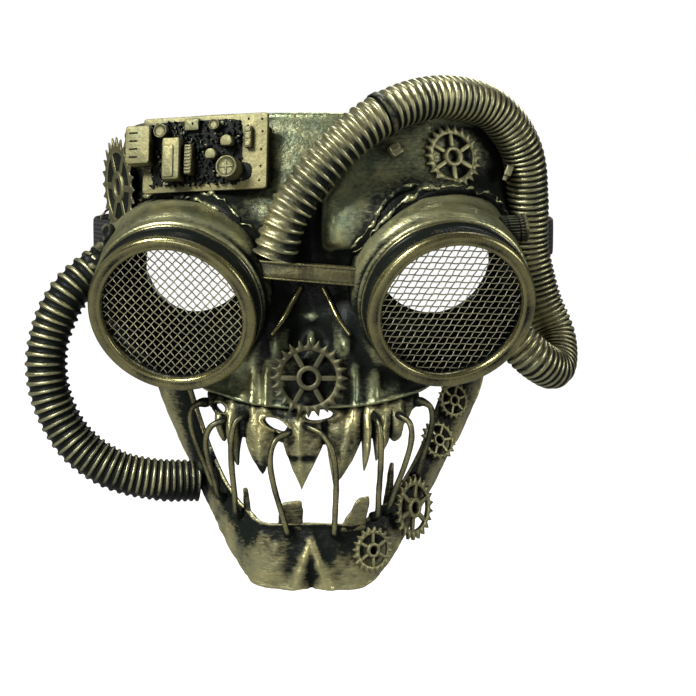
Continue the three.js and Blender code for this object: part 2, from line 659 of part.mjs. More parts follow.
function turned(profile, sides) {
  const outline = profile.map(([radius, ahead]) => new THREE.Vector2(radius, ahead));
  outline.push(outline[0].clone());
  const geometry = new THREE.LatheGeometry(outline, sides);
  geometry.rotateX(Math.PI / 2); // the lathe's Y becomes the axis, +Z
  return toGeometry(toSolid(geometry));
}

function wireScreen() {
  const disc = new THREE.Shape();
  const rim = spread(0, 2 * Math.PI, SCREEN_SIDES).slice(0, SCREEN_SIDES);
  disc.setFromPoints(rim.map((a) => new THREE.Vector2(SCREEN_R * Math.cos(a), SCREEN_R * Math.sin(a))));
  const half = (SCREEN_PITCH - SCREEN_BAR) / Math.SQRT2;
  const count = Math.ceil(SCREEN_R / SCREEN_PITCH);
  for (let i = -count; i <= count; i++) {
    for (let j = -count; j <= count; j++) {
      const x = ((i - j) * SCREEN_PITCH) / Math.SQRT2;
      const y = ((i + j) * SCREEN_PITCH) / Math.SQRT2;
      if (Math.hypot(x, y) + half > SCREEN_R - SCREEN_EDGE) continue;
      const corners = [[half, 0], [0, half], [-half, 0], [0, -half]];
      const gap = new THREE.Path(corners.map(([a, b]) => new THREE.Vector2(x + a, y + b)));
      disc.holes.push(gap);
    }
  }
  return new THREE.ExtrudeGeometry(disc, { depth: SCREEN_THICK, bevelEnabled: false });
}

function goggleFrame({ side, x, y, z, yaw: outwards }) {
  const yaw = radians(outwards) * side;
  const pitch = radians(GOGGLE_PITCH);
  const flat = Math.cos(pitch);
  const ahead = new THREE.Vector3(flat * Math.sin(yaw), -flat * Math.cos(yaw), -Math.sin(pitch));
  const across = new THREE.Vector3(Math.cos(yaw), Math.sin(yaw), 0);
  const upward = new THREE.Vector3().crossVectors(ahead, across);
  const frame = new THREE.Group();
  frame.position.set(x, y, z);
  frame.quaternion.setFromRotationMatrix(new THREE.Matrix4().makeBasis(across, upward, ahead));
  frame.updateMatrixWorld();
  return frame;
}

const cupWall = [...CUP_PROFILE, ...CUP_PROFILE.map(([r, a]) => [r - CUP_WALL, a]).reverse()];
const cupBulk = [...CUP_PROFILE.map(([r, a]) => [r + GAP, a]), [0, -CUP_REACH], [0, CUP_FRONT]];

function goggleCup(frame) {
  const cup = toSolid(turned(cupWall, CUP_SIDES), frame.matrixWorld).subtract(core);
  const geometry = toGeometry(cup);
  geometry.applyMatrix4(frame.matrixWorld.clone().invert());
  return geometry;
}

const rimGeometry = turned(RIM_PROFILE, RIM_SIDES);
const cupBulks = [];
for (const goggle of GOGGLES) {
  const frame = goggleFrame(goggle);
  addPiece(`${goggle.word}_goggle_cup`, goggleCup(frame), agedBrass, frame);
  addPiece(`${goggle.word}_goggle_rim`, rimGeometry, brightBrass, frame);
  const screen = addPiece(`${goggle.word}_screen`, wireScreen(), brightBrass, frame);
  screen.position.z = -SCREEN_SET_BACK - SCREEN_THICK;
  cupBulks.push(toSolid(turned(cupBulk, CUP_SIDES), frame.matrixWorld));
  mask.add(frame);
}

// The bar between the goggles, and the two rods that run from it down the sides of the nose

// The rim filled in, a little larger all round.
const rimBulk = [[0, 1], [36, 1], [36, -4], [35.4, -5], [35.4, -11.2], [36.6, RIM_BACK],
  [36.6, CUP_FRONT], [0, CUP_FRONT]];

function bridgeBar() {
  let bar = toSolid(new THREE.BoxGeometry(BAR_LENGTH, BAR_THICK, BAR_HEIGHT), barMatrix);
  for (const goggle of GOGGLES) {
    bar = bar.subtract(toSolid(turned(rimBulk, RIM_SIDES), goggleFrame(goggle).matrixWorld));
  }
  for (const cup of cupBulks) bar = bar.subtract(cup);
  return toGeometry(bar);
}

addPiece("bridge_bar", bridgeBar(), brightBrass);

const NOSE_ROD_STEPS = 6;

for (const [side, word] of [[-1, "left"], [1, "right"]]) {
  const points = spread(0, 1, 3).map((part) => {
    const x = side * (NOSE_ROD_TOP_X + (NOSE_ROD_FOOT_X - NOSE_ROD_TOP_X) * part);
    const z = NOSE_ROD_TOP_Z + (NOSE_ROD_FOOT_Z - NOSE_ROD_TOP_Z) * part;
    return offsetFace(turnAt(x, z), z, NOSE_ROD_R + 2 * GAP);
  });
  addPiece(`${word}_nose_rod`, rod(points, NOSE_ROD_R, NOSE_ROD_STEPS, WIRE_SIDES), brightBrass);
}

// Gears

const Z_AXIS = new THREE.Vector3(0, 0, 1);

// Sets a mesh or group on a seat: its own +Z along the normal, its +Y as near to up as it gets.
function standOn(object, seat, normal, spin = 0) {
  const across = new THREE.Vector3().crossVectors(Z_AXIS, normal).normalize();
  const upward = new THREE.Vector3().crossVectors(normal, across);
  object.position.copy(seat);
  object.quaternion.setFromRotationMatrix(new THREE.Matrix4().makeBasis(across, upward, normal));
  object.rotateZ(spin);
  object.updateMatrixWorld();
}

const polar = (radius, angle) => new THREE.Vector2(radius * Math.cos(angle), radius * Math.sin(angle));

// A flat spoked gear with pointed teeth, on a short post that reaches down to its seat.
function gear({ tipR, teeth, spokes, thick, lift }) {
  const rootR = tipR * GEAR_ROOT;
  const rimR = tipR * GEAR_RIM;
  const hubR = tipR * GEAR_HUB;
  const halfSpoke = tipR * GEAR_HALF_SPOKE;
  const tips = spread(0, 2 * Math.PI, 2 * teeth).slice(0, 2 * teeth);
  const outline = new THREE.Shape(tips.map((a, i) => polar(i % 2 ? rootR : tipR, a)));
  const pitch = (2 * Math.PI) / spokes;
  for (let k = 0; k < spokes; k++) {
    const edge = (radius) => Math.asin(halfSpoke / radius);
    const far = spread(k * pitch + edge(rimR), (k + 1) * pitch - edge(rimR), 2);
    const near = spread((k + 1) * pitch - edge(hubR), k * pitch + edge(hubR), 1);
    const window = [...far.map((a) => polar(rimR, a)), ...near.map((a) => polar(hubR, a))];
    outline.holes.push(new THREE.Path(window));
  }
  const bore = spread(0, 2 * Math.PI, GEAR_BORE_SIDES).slice(0, GEAR_BORE_SIDES);
  outline.holes.push(new THREE.Path(bore.map((a) => polar(tipR * GEAR_BORE, a))));
  const plate = new THREE.ExtrudeGeometry(outline, { depth: thick, bevelEnabled: false });
  const postR = tipR * GEAR_POST;
  const post = new THREE.CylinderGeometry(postR, postR, lift + GEAR_POST_BITE, GEAR_POST_SIDES);
  post.rotateX(Math.PI / 2).translate(0, 0, (GEAR_POST_BITE - lift) / 2);
  return toGeometry(toSolid(plate).add(toSolid(post)));
}

// A gear beside a goggle loses the edge that would reach into the goggle's tube.
function trimByCups(mesh) {
  let solid = toSolid(mesh.geometry, mesh.matrixWorld);
  for (const cup of cupBulks) solid = solid.subtract(cup);
  mesh.geometry = toGeometry(solid).applyMatrix4(mesh.matrixWorld.clone().invert());
}

for (const row of FACE_GEARS) {
  const turn = turnAt(row.x, row.z);
  const mesh = addPiece(row.name, gear(row), brightBrass);
  const normal = faceNormal(turn, row.z).applyAxisAngle(Z_AXIS, radians(row.turnOut));
  standOn(mesh, offsetFace(turn, row.z, GAP + row.lift + row.raise), normal);
  trimByCups(mesh);
}
for (const row of JAW_GEARS) {
  const mesh = addPiece(row.name, gear(row), brightBrass);
  standOn(mesh, offsetJaw(row.along, row.up, GAP + row.lift), jawNormal(row.along, row.up));
}

// The knurled valve knob on the outer side of the right cup

function sideKnob() {
  const outline = spread(0, 2 * Math.PI, 2 * KNOB_KNURLS).slice(0, 2 * KNOB_KNURLS);
  const rootR = KNOB_R - KNOB_KNURL_DEPTH;
  const knurled = new THREE.Shape(outline.map((a, i) => polar(i % 2 ? rootR : KNOB_R, a)));
  return new THREE.ExtrudeGeometry(knurled, { depth: KNOB_LENGTH, bevelEnabled: false });
}

const rightGoggle = goggleFrame(GOGGLES[1]);
const knobAngle = radians(KNOB_ANGLE);
const knobOut = new THREE.Vector3(Math.cos(knobAngle), Math.sin(knobAngle), 0);
const knobSeat = knobOut.clone().multiplyScalar(KNOB_SEAT_R).setZ(-KNOB_BEHIND);
const knob = addPiece("side_knob", sideKnob(), darkBrass);
const knobNormal = knobOut.clone().transformDirection(rightGoggle.matrixWorld);
standOn(knob, rightGoggle.localToWorld(knobSeat), knobNormal);

// The circuit board: a plate on a boss that follows the forehead, and the parts that stand on it

const board = new THREE.Group();
const boardTurn = turnAt(BOARD_X, BOARD_Z);
standOn(board, offsetFace(boardTurn, BOARD_Z, BOARD_LIFT), boardNormal, BOARD_ROLL);
mask.add(board);

function circuitBoard() {
  const plate = new THREE.BoxGeometry(BOARD_LENGTH, BOARD_HEIGHT, BOARD_THICK);
  const bossLength = BOARD_LENGTH - 2 * BOSS_INSET;
  const bossHeight = BOARD_HEIGHT - 2 * BOSS_INSET;
  const boss = new THREE.BoxGeometry(bossLength, bossHeight, BOSS_DEPTH);
  boss.translate(0, 0, -BOSS_DEPTH / 2);
  let solid = toSolid(plate, board.matrixWorld).add(toSolid(boss, board.matrixWorld).subtract(core));
  for (const cup of cupBulks) solid = solid.subtract(cup);
  return toGeometry(solid).applyMatrix4(board.matrixWorld.clone().invert());
}

addPiece("circuit_board", circuitBoard(), darkBrass, board);

const boardTop = BOARD_THICK / 2 + GAP;
const ROUND_PART_SIDES = 10;
const roundPart = ({ width, tall }) =>
  new THREE.CylinderGeometry(width / 2, width / 2, tall, ROUND_PART_SIDES).rotateX(Math.PI / 2);
const blockPart = ({ width, high, tall }) => new THREE.BoxGeometry(width, high, tall);
const flatSidedPart = ({ width, tall }) => {
  const arc = spread(-0.25 * Math.PI, 1.25 * Math.PI, 8).map((a) => polar(width / 2, a));
  const body = new THREE.ExtrudeGeometry(new THREE.Shape(arc), { depth: tall, bevelEnabled: false });
  return body.translate(0, 0, -tall / 2);
};
const PART_SHAPES = { round: roundPart, block: blockPart, flat_sided: flatSidedPart };

for (const row of BOARD_PARTS) {
  const mesh = addPiece(row.name, PART_SHAPES[row.shape](row), darkBrass, board);
  mesh.position.set(row.u, row.v, boardTop + row.tall / 2);
}

// Hoses, trimmed where they meet the face, the goggles and the jaw

function trimmedHose(route, cutters) {
  return toGeometry(cutters.reduce((solid, cutter) => solid.subtract(cutter), hose(route)));
}

const jawBulk = toSolid(wallBetween(jawGrid(GAP), jawGrid(-JAW_BULK)));

addPiece("left_hose", trimmedHose(LEFT_HOSE, [core, ...cupBulks, jawBulk]), agedBrass);
addPiece("main_hose", trimmedHose(MAIN_HOSE, [core, ...cupBulks]), agedBrass);

// A small clip on the forehead, under the bend of the long hose

const clip = addPiece("hose_clip", new THREE.BoxGeometry(CLIP_WIDTH, CLIP_WIDTH, CLIP_HEIGHT), brightBrass);
const clipTurn = turnAt(CLIP_X, CLIP_Z);
standOn(clip, offsetFace(clipTurn, CLIP_Z, GAP + CLIP_HEIGHT / 2), faceNormal(clipTurn, CLIP_Z), CLIP_SPIN);

// The elastic strap, fixed inside both temples and carried round the back of the head

function headStrap() {
  const half = STRAP_ROUTE.map(([x, y]) => new THREE.Vector3(x, y, STRAP_Z));
  const other = half.slice(0, -1).map((p) => new THREE.Vector3(-p.x, p.y, p.z)).reverse();
  const curve = new THREE.CatmullRomCurve3([...half, ...other], false, "centripetal");
  const rings = spread(0, 1, STRAP_STEPS).map((place) => {
    const middle = curve.getPointAt(place);
    const tangent = curve.getTangentAt(place);
    const out = new THREE.Vector3(tangent.y, -tangent.x, 0).multiplyScalar(STRAP_THICK / 2);
    return [[-1, -1], [1, -1], [1, 1], [-1, 1]].map(([a, b]) => middle.clone()
      .addScaledVector(out, a).addScaledVector(Z_AXIS, (b * STRAP_WIDTH) / 2));
  });
  return solidThroughRings(rings);
}

addPiece("head_strap", headStrap(), blackElastic);

export default mask;
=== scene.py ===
# %% [markdown]
# # A skull mask in aged brass
# This lesson dresses a costume mask: a moulded half skull with goggles, hoses, gears and a small
# circuit board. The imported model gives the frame, with every piece at its real size and place.
# Each piece is then made again as a fine surface, worked out in numpy from the same sizes.

import bpy
import numpy as np
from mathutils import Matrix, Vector


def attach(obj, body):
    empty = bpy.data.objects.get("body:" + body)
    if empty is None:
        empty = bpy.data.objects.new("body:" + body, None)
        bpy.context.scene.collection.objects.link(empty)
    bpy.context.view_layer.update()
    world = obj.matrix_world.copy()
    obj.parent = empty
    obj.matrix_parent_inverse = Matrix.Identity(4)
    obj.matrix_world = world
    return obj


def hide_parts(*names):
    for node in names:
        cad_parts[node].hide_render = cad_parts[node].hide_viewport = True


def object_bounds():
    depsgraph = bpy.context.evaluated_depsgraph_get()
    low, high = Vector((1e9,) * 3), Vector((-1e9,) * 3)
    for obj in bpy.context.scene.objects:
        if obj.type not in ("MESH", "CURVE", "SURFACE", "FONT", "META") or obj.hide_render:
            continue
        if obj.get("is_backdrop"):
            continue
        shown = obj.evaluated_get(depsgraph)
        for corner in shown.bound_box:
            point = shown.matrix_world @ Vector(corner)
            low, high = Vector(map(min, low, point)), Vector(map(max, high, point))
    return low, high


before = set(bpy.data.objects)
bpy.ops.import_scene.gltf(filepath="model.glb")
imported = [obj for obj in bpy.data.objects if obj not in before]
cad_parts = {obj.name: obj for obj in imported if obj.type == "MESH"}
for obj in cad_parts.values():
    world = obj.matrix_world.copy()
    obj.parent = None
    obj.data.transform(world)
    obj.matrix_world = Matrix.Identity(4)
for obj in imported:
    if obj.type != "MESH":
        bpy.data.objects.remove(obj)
cad_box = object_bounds()
print("nodes in the frame:", len(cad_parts))

# %% [markdown]
# # Camera
# The mask was photographed from a little above and almost straight ahead, with a long lens. A long
# lens keeps both goggles the same size, so the camera stands a metre away and looks a little down.

# %% Camera
AZIMUTH, ELEVATION = np.radians([2.0, 8.0])
DISTANCE = 1.0
TARGET = Vector((0.015, 0.0, -0.036))
PHOTO_SIDE = 696
METRES_PER_PIXEL = 0.00042
SENSOR = 36.0

level_share = np.cos(ELEVATION)
view_back = Vector((np.sin(AZIMUTH) * level_share, -np.cos(AZIMUTH) * level_share, np.sin(ELEVATION)))
camera_data = bpy.data.cameras.new("camera")
camera_data.sensor_width = SENSOR
camera_data.lens = SENSOR * DISTANCE / (METRES_PER_PIXEL * PHOTO_SIDE)
camera = bpy.data.objects.new("camera", camera_data)
camera.location = TARGET + view_back * DISTANCE
camera.rotation_euler = view_back.to_track_quat("Z", "Y").to_euler()
bpy.context.scene.collection.objects.link(camera)
bpy.context.scene.camera = camera
bpy.context.scene.view_settings.view_transform = "Standard"
print("lens in millimetres:", round(camera_data.lens, 1))

# %% [markdown]
# # Light and floor
# Aged metal shows by what it reflects. Large soft boxes give long pale highlights, and the dim room
# between them keeps the hollows dark. The floor and the room look white to the camera, and give
# only a little light, so that the white doesn't wash out the metal.

# %% Light and floor
FLOOR_Z = -0.32
FLOOR_HALF = 6.0
ROOM_LIGHT, FLOOR_LIGHT = 0.07, 0.03
SOFT_BOXES = [
    {"name": "key", "place": (-0.8, -0.8, 1.0), "size": 0.45, "watts": 33.0},
    {"name": "side", "place": (1.2, -0.35, 0.25), "size": 0.5, "watts": 6.0},
    {"name": "front", "place": (-0.5, -1.5, 0.1), "size": 0.45, "watts": 5.0},
    {"name": "rim", "place": (0.2, 0.9, 0.9), "size": 0.6, "watts": 9.0},
]


def white_to_camera(tree, dim, strength):
    """An emission that is white where the camera looks straight at it, and dimmer as a light."""
    path = tree.nodes.new("ShaderNodeLightPath")
    level = tree.nodes.new("ShaderNodeMapRange")
    level.inputs["To Min"].default_value = dim
    level.inputs["To Max"].default_value = strength
    tree.links.new(path.outputs["Is Camera Ray"], level.inputs["Value"])
    return level.outputs["Result"]


world = bpy.data.worlds.new("studio")
bpy.context.scene.world = world
world.use_nodes = True
backdrop = world.node_tree.nodes["Background"]
world.node_tree.links.new(white_to_camera(world.node_tree, ROOM_LIGHT, 1.0), backdrop.inputs["Strength"])
backdrop.inputs["Color"].default_value = (1.0, 1.0, 1.0, 1.0)

for box in SOFT_BOXES:
    light = bpy.data.lights.new(box["name"], "AREA")
    light.size = box["size"]
    light.energy = box["watts"]
    lamp = bpy.data.objects.new(box["name"], light)
    lamp.location = box["place"]
    lamp.rotation_euler = (Vector(box["place"]) - TARGET).to_track_quat("Z", "Y").to_euler()
    bpy.context.scene.collection.objects.link(lamp)

floor_mesh = bpy.data.meshes.new("floor")
floor_corners = [(-FLOOR_HALF, -FLOOR_HALF, FLOOR_Z), (FLOOR_HALF, -FLOOR_HALF, FLOOR_Z),
                 (FLOOR_HALF, FLOOR_HALF, FLOOR_Z), (-FLOOR_HALF, FLOOR_HALF, FLOOR_Z)]
floor_mesh.from_pydata(floor_corners, [], [(0, 1, 2, 3)])
floor = bpy.data.objects.new("floor", floor_mesh)
bpy.context.scene.collection.objects.link(floor)
paper = bpy.data.materials.new("white_paper")
paper.use_nodes = True
sheet = paper.node_tree.nodes["Principled BSDF"]
sheet.inputs["Base Color"].default_value = (0.3, 0.3, 0.3, 1.0)
sheet.inputs["Roughness"].default_value = 0.9
sheet.inputs["Emission Color"].default_value = (1.0, 1.0, 1.0, 1.0)
floor_strength = white_to_camera(paper.node_tree, FLOOR_LIGHT, 1.0)
paper.node_tree.links.new(floor_strength, sheet.inputs["Emission Strength"])
floor_mesh.materials.append(paper)
floor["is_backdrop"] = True
print("soft boxes:", len(SOFT_BOXES))

# %% [markdown]
# # Meshes from arrays
# A surface here is a grid of points, worked out as whole arrays in millimetres. Two grids with a gap
# between them make a wall, and a closed profile carried along a path makes a tube. Each shell is a
# small dictionary of points and faces, and a piece may join several shells. A vertex attribute says how
# far a point stands out of what is round it, and also carries painted highlight and painted shade; the
# paint is brushed by it.

# %% Mesh tools
MM = 0.001


def cells(rows, columns, wrap_rows=False, wrap_columns=False):
    """Corner numbers of every four-sided cell of a grid; a wrapped grid joins its last line to its first."""
    r = np.arange(rows if wrap_rows else rows - 1)[:, None]
    c = np.arange(columns if wrap_columns else columns - 1)[None, :]
    r2, c2 = (r + 1) % rows, (c + 1) % columns
    corners = [r * columns + c, r * columns + c2, r2 * columns + c2, r2 * columns + c]
    return np.stack(np.broadcast_arrays(*corners), -1).reshape(-1, 4)


def closed(points, quads, tris=None, raised_and_lit=0.6, inside=0.0):
    """A closed shell with its faces turned outwards: the signed volume of its cells decides."""
    points = np.asarray(points, float).reshape(-1, 3)
    quads = np.asarray(quads, int).reshape(-1, 4)
    tris = np.zeros((0, 3), int) if tris is None else np.asarray(tris, int).reshape(-1, 3)
    halves = np.concatenate([quads[:, [0, 1, 2]], quads[:, [0, 2, 3]], tris])
    a, b, c = (points[halves[:, k]] - points.mean(0) for k in range(3))
    if np.einsum("ij,ij->", a, np.cross(b, c)) < 0:
        quads, tris = quads[:, ::-1], tris[:, ::-1]
    values = {"raised_and_lit": raised_and_lit, "inside": inside}
    for key, value in values.items():
        flat = np.asarray(value, float).reshape(-1)
        values[key] = np.broadcast_to(flat, (len(points),)).copy()
    return {"points": points, "quads": quads, "tris": tris, **values}


def wall(outer, inner, keep=None, raised_and_lit=0.6):
    """A wall between two grids: both skins, and a band of faces along every free edge of the kept cells."""
    rows, columns = outer.shape[:2]
    quads = cells(rows, columns)
    if keep is not None:
        quads = quads[keep.reshape(-1)]
    edges = np.concatenate([quads[:, [k, (k + 1) % 4]] for k in range(4)])
    low, high = edges.min(1), edges.max(1)
    _, first, count = np.unique(low * rows * columns + high, return_index=True, return_counts=True)
    rim = edges[first[count == 1]]
    skin = rows * columns
    band = np.stack([rim[:, 1], rim[:, 0], rim[:, 0] + skin, rim[:, 1] + skin], -1)
    faces = np.concatenate([quads, quads[:, ::-1] + skin, band])
    height = np.broadcast_to(raised_and_lit, (rows, columns)).reshape(-1)
    return closed(np.concatenate([outer.reshape(-1, 3), inner.reshape(-1, 3)]), faces,
                  raised_and_lit=np.concatenate([height, np.zeros(skin)]),
                  inside=np.concatenate([np.zeros(skin), np.ones(skin)]))


def capped(rings, raised_and_lit=0.6):
    """A tube through rings of points, with a fan to a middle point over each end."""
    count, sides = rings.shape[:2]
    middles = rings[[0, -1]].mean(1)
    points = np.concatenate([rings.reshape(-1, 3), middles])
    k = np.arange(sides)
    start = np.stack([k, np.full(sides, count * sides), (k + 1) % sides], -1)
    last = (count - 1) * sides
    end = np.stack([last + (k + 1) % sides, np.full(sides, count * sides + 1), last + k], -1)
    height = np.asarray(raised_and_lit, float)
    if height.ndim == 1:
        height = height[:, None]
    height = np.broadcast_to(height, (count, sides))
    ends = [height[0].mean(), height[-1].mean()]
    return closed(points, cells(count, sides, wrap_columns=True), np.concatenate([start, end]),
                  raised_and_lit=np.concatenate([height.reshape(-1), ends]))


def hoop(rings, raised_and_lit=0.6):
    """A closed hoop: rings of points that join up, each of them a closed section."""
    count, sides = rings.shape[:2]
    return closed(rings, cells(count, sides, wrap_rows=True, wrap_columns=True),
                  raised_and_lit=np.broadcast_to(raised_and_lit, (count, sides)))


def join(shells):
    """Several shells as one: their points in a row, and their face numbers moved along."""
    starts = np.cumsum([0] + [len(shell["points"]) for shell in shells])
    values = ("points", "raised_and_lit", "inside")
    together = {key: np.concatenate([shell[key] for shell in shells]) for key in values}
    for key in ("quads", "tris"):
        together[key] = np.concatenate([shell[key] + start for shell, start in zip(shells, starts)])
    return together


# %% Put a piece into the scene
def add_piece(name, shells, finish, nodes):
    """Puts shells into one mesh object in metres, which rides on the body and stands for its nodes."""
    shell = join(shells if isinstance(shells, list) else [shells])
    mesh = bpy.data.meshes.new(name)
    corners = np.concatenate([shell["quads"].reshape(-1), shell["tris"].reshape(-1)])
    sizes = np.concatenate([np.full(len(shell["quads"]), 4), np.full(len(shell["tris"]), 3)])
    mesh.vertices.add(len(shell["points"]))
    mesh.vertices.foreach_set("co", (shell["points"] * MM).reshape(-1))
    mesh.loops.add(len(corners))
    mesh.loops.foreach_set("vertex_index", corners.astype(np.int32))
    mesh.polygons.add(len(sizes))
    mesh.polygons.foreach_set("loop_start", (np.cumsum(sizes) - sizes).astype(np.int32))
    mesh.polygons.foreach_set("use_smooth", np.ones(len(sizes), bool))
    for key in ("raised_and_lit", "inside"):
        mesh.attributes.new(key, "FLOAT", "POINT").data.foreach_set("value", shell[key].astype(np.float32))
    mesh.update(calc_edges=True)
    mesh.materials.append(finish)
    piece = bpy.data.objects.new(name, mesh)
    bpy.context.scene.collection.objects.link(piece)
    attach(piece, "root")
    for node in nodes:
        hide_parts(node)
    print(f"{name}: {int(sizes.sum() - 2 * len(sizes))} triangles")


# %% [markdown]
# # Noise and smooth tables
# Cast and painted surfaces are never quite even. A lattice of seeded random values, blended smoothly,
# gives the same unevenness on every run. Sizes that change along the face come from short tables, and
# a cubic curve runs through their rows, as it does in the construction.

# %% Noise and tables
LATTICE_SIDE, LATTICE_SEED = 24, 7
LATTICE = np.random.default_rng(LATTICE_SEED).random((LATTICE_SIDE,) * 3)


def noise(points, size):
    """Smooth noise from -1 to 1: random values on a lattice of this size, blended inside each cell."""
    place = points / size
    cell = np.floor(place).astype(int)
    part = place - cell
    part = part * part * (3 - 2 * part)
    total = np.zeros(points.shape[:-1])
    for corner in np.ndindex(2, 2, 2):
        weight = np.prod(np.where(corner, part, 1 - part), axis=-1)
        i, j, k = np.moveaxis((cell + corner) % LATTICE_SIDE, -1, 0)
        total += weight * LATTICE[i, j, k]
    return 2 * total - 1


def rough(points, size, octaves=3):
    """Noise on several scales: each octave has half the size and half the height of the one before."""
    return sum(noise(points + 37.0 * k, size / 2**k) / 2**k for k in range(octaves))


def smooth_value(keys, values, place):
    """A cubic through the rows of a table, whose slope at a row is that between its neighbours."""
    last = len(keys) - 1
    rows = np.arange(last + 1)
    before, after = np.maximum(rows - 1, 0), np.minimum(rows + 1, last)
    slope = (values[after] - values[before]) / (keys[after] - keys[before])
    i = np.clip(np.searchsorted(keys, place, side="right") - 1, 0, last - 1)
    span = keys[i + 1] - keys[i]
    t = (place - keys[i]) / span
    u = 1 - t
    ends = (1 + 2 * t) * u * u * values[i] + t * t * (3 - 2 * t) * values[i + 1]
    return ends + t * u * (u * slope[i] - t * slope[i + 1]) * span


def bump(distance, reach):
    """A round bump: 1 in the middle, falling off as a bell curve with this reach."""
    return np.exp(-((distance / reach) ** 2))


def step(value, low, high):
    """A smooth step from 0 at the low value to 1 at the high one."""
    t = np.clip((value - low) / (high - low), 0, 1)
    return t * t * (3 - 2 * t)


# %% Surface tools
# How many points away the neighbours are in each pass of a blur.
FINE_BLUR, COARSE_BLUR = (1, 2, 4), (1, 2, 4, 6)


def softened(grid, steps):
    """A blurred copy of a grid: each pass averages a point with neighbours further and further off."""
    for reach in steps:
        for axis in (0, 1):
            size = grid.shape[axis]
            left = np.clip(np.arange(size) - reach, 0, size - 1)
            right = np.clip(np.arange(size) + reach, 0, size - 1)
            grid = 0.5 * grid + 0.25 * (np.take(grid, left, axis) + np.take(grid, right, axis))
    return grid


def grid_normals(points):
    """Unit normals of a grid surface: the cross product of its two directions at each point."""
    across = np.gradient(points, axis=1)
    along = np.gradient(points, axis=0)
    normal = np.cross(across, along)
    return normal / np.maximum(np.linalg.norm(normal, axis=-1, keepdims=True), 1e-9)


def standing_out(points, normals, scale, steps):
    """How far a point stands out of its blurred surroundings, from 0 to 1; normals say which way is out."""
    outward = grid_normals(points)
    outward = outward * np.sign((outward * normals).sum(-1))[..., None]
    height = ((points - softened(points, steps)) * outward).sum(-1)
    return np.clip(0.5 + height / scale, 0, 1)


def unit(vectors):
    """Vectors of length one in the same directions."""
    return np.asarray(vectors, float) / np.linalg.norm(vectors, axis=-1, keepdims=True)


def round_axis(radius, angle, height):
    """Points at a radius, an angle and a height round an axis, before the axis is put in its place."""
    return np.stack(np.broadcast_arrays(radius * np.cos(angle), radius * np.sin(angle), height), -1)


def full_turn(count):
    """Even angles once round, without the last one, which would be the first again."""
    return np.linspace(0, 2 * np.pi, count, endpoint=False)


def bells(x, z, rows):
    """A sum of bell curves, one for each row: middle x and z, reach across and up, and height."""
    return sum(height * np.exp(-(((x - cx) / rx) ** 2) - ((z - cz) / rz) ** 2)
               for cx, cz, rx, rz, height in rows)


print("lattice values:", LATTICE.size)

# %% [markdown]
# # Finishes
# The real mask is black plastic, brushed with brass paint. The brush touches what stands out, and
# leaves the hollows black. The finish does the same: a paint cover is worked out from how far a point
# stands out, which also carries painted highlight and shade, from how much open space is round a point,
# which also paints shade into hollows and where parts meet, and from noise, and it mixes black with brass.

# %% Finishes
BLACK = (0.008, 0.010, 0.008, 1.0)


def node(tree, kind, **sockets):
    """Adds a shader node and sets its input sockets by name."""
    made = tree.nodes.new(kind)
    for key, value in sockets.items():
        made.inputs[key.replace("_", " ")].default_value = value
    return made


def sum_of(tree, terms):
    """Adds sockets, each times its own factor, with a chain of multiply-add nodes."""
    total = None
    for socket, factor in terms:
        made = tree.nodes.new("ShaderNodeMath")
        made.operation = "MULTIPLY_ADD"
        tree.links.new(socket, made.inputs[0])
        made.inputs[1].default_value = factor
        if total is None:
            made.inputs[2].default_value = 0.0
        else:
            tree.links.new(total, made.inputs[2])
        total = made.outputs[0]
    return total


def ramp(tree, socket, low, high, to_low=0.0, to_high=1.0):
    """A clamped straight ramp of a socket between two values."""
    made = node(tree, "ShaderNodeMapRange", From_Min=low, From_Max=high, To_Min=to_low, To_Max=to_high)
    tree.links.new(socket, made.inputs["Value"])
    return made.outputs["Result"]


def blended(tree, factor, first, second):
    """A colour between two colours, each a socket or a fixed colour."""
    made = tree.nodes.new("ShaderNodeMix")
    made.data_type = "RGBA"
    tree.links.new(factor, made.inputs[0])
    for slot, colour in ((6, first), (7, second)):
        if isinstance(colour, tuple):
            made.inputs[slot].default_value = colour
        else:
            tree.links.new(colour, made.inputs[slot])
    return made.outputs[2]


# %% Brushed brass
# Scales of the noise in the paint, the reach of the near open space in metres, and the height of the grain.
PATCH_SCALE, GRAIN_SCALE, SPECK_SCALE = 75.0, 350.0, 800.0
NEAR_SPACE, GRAIN_HEIGHT = 0.004, 0.0006


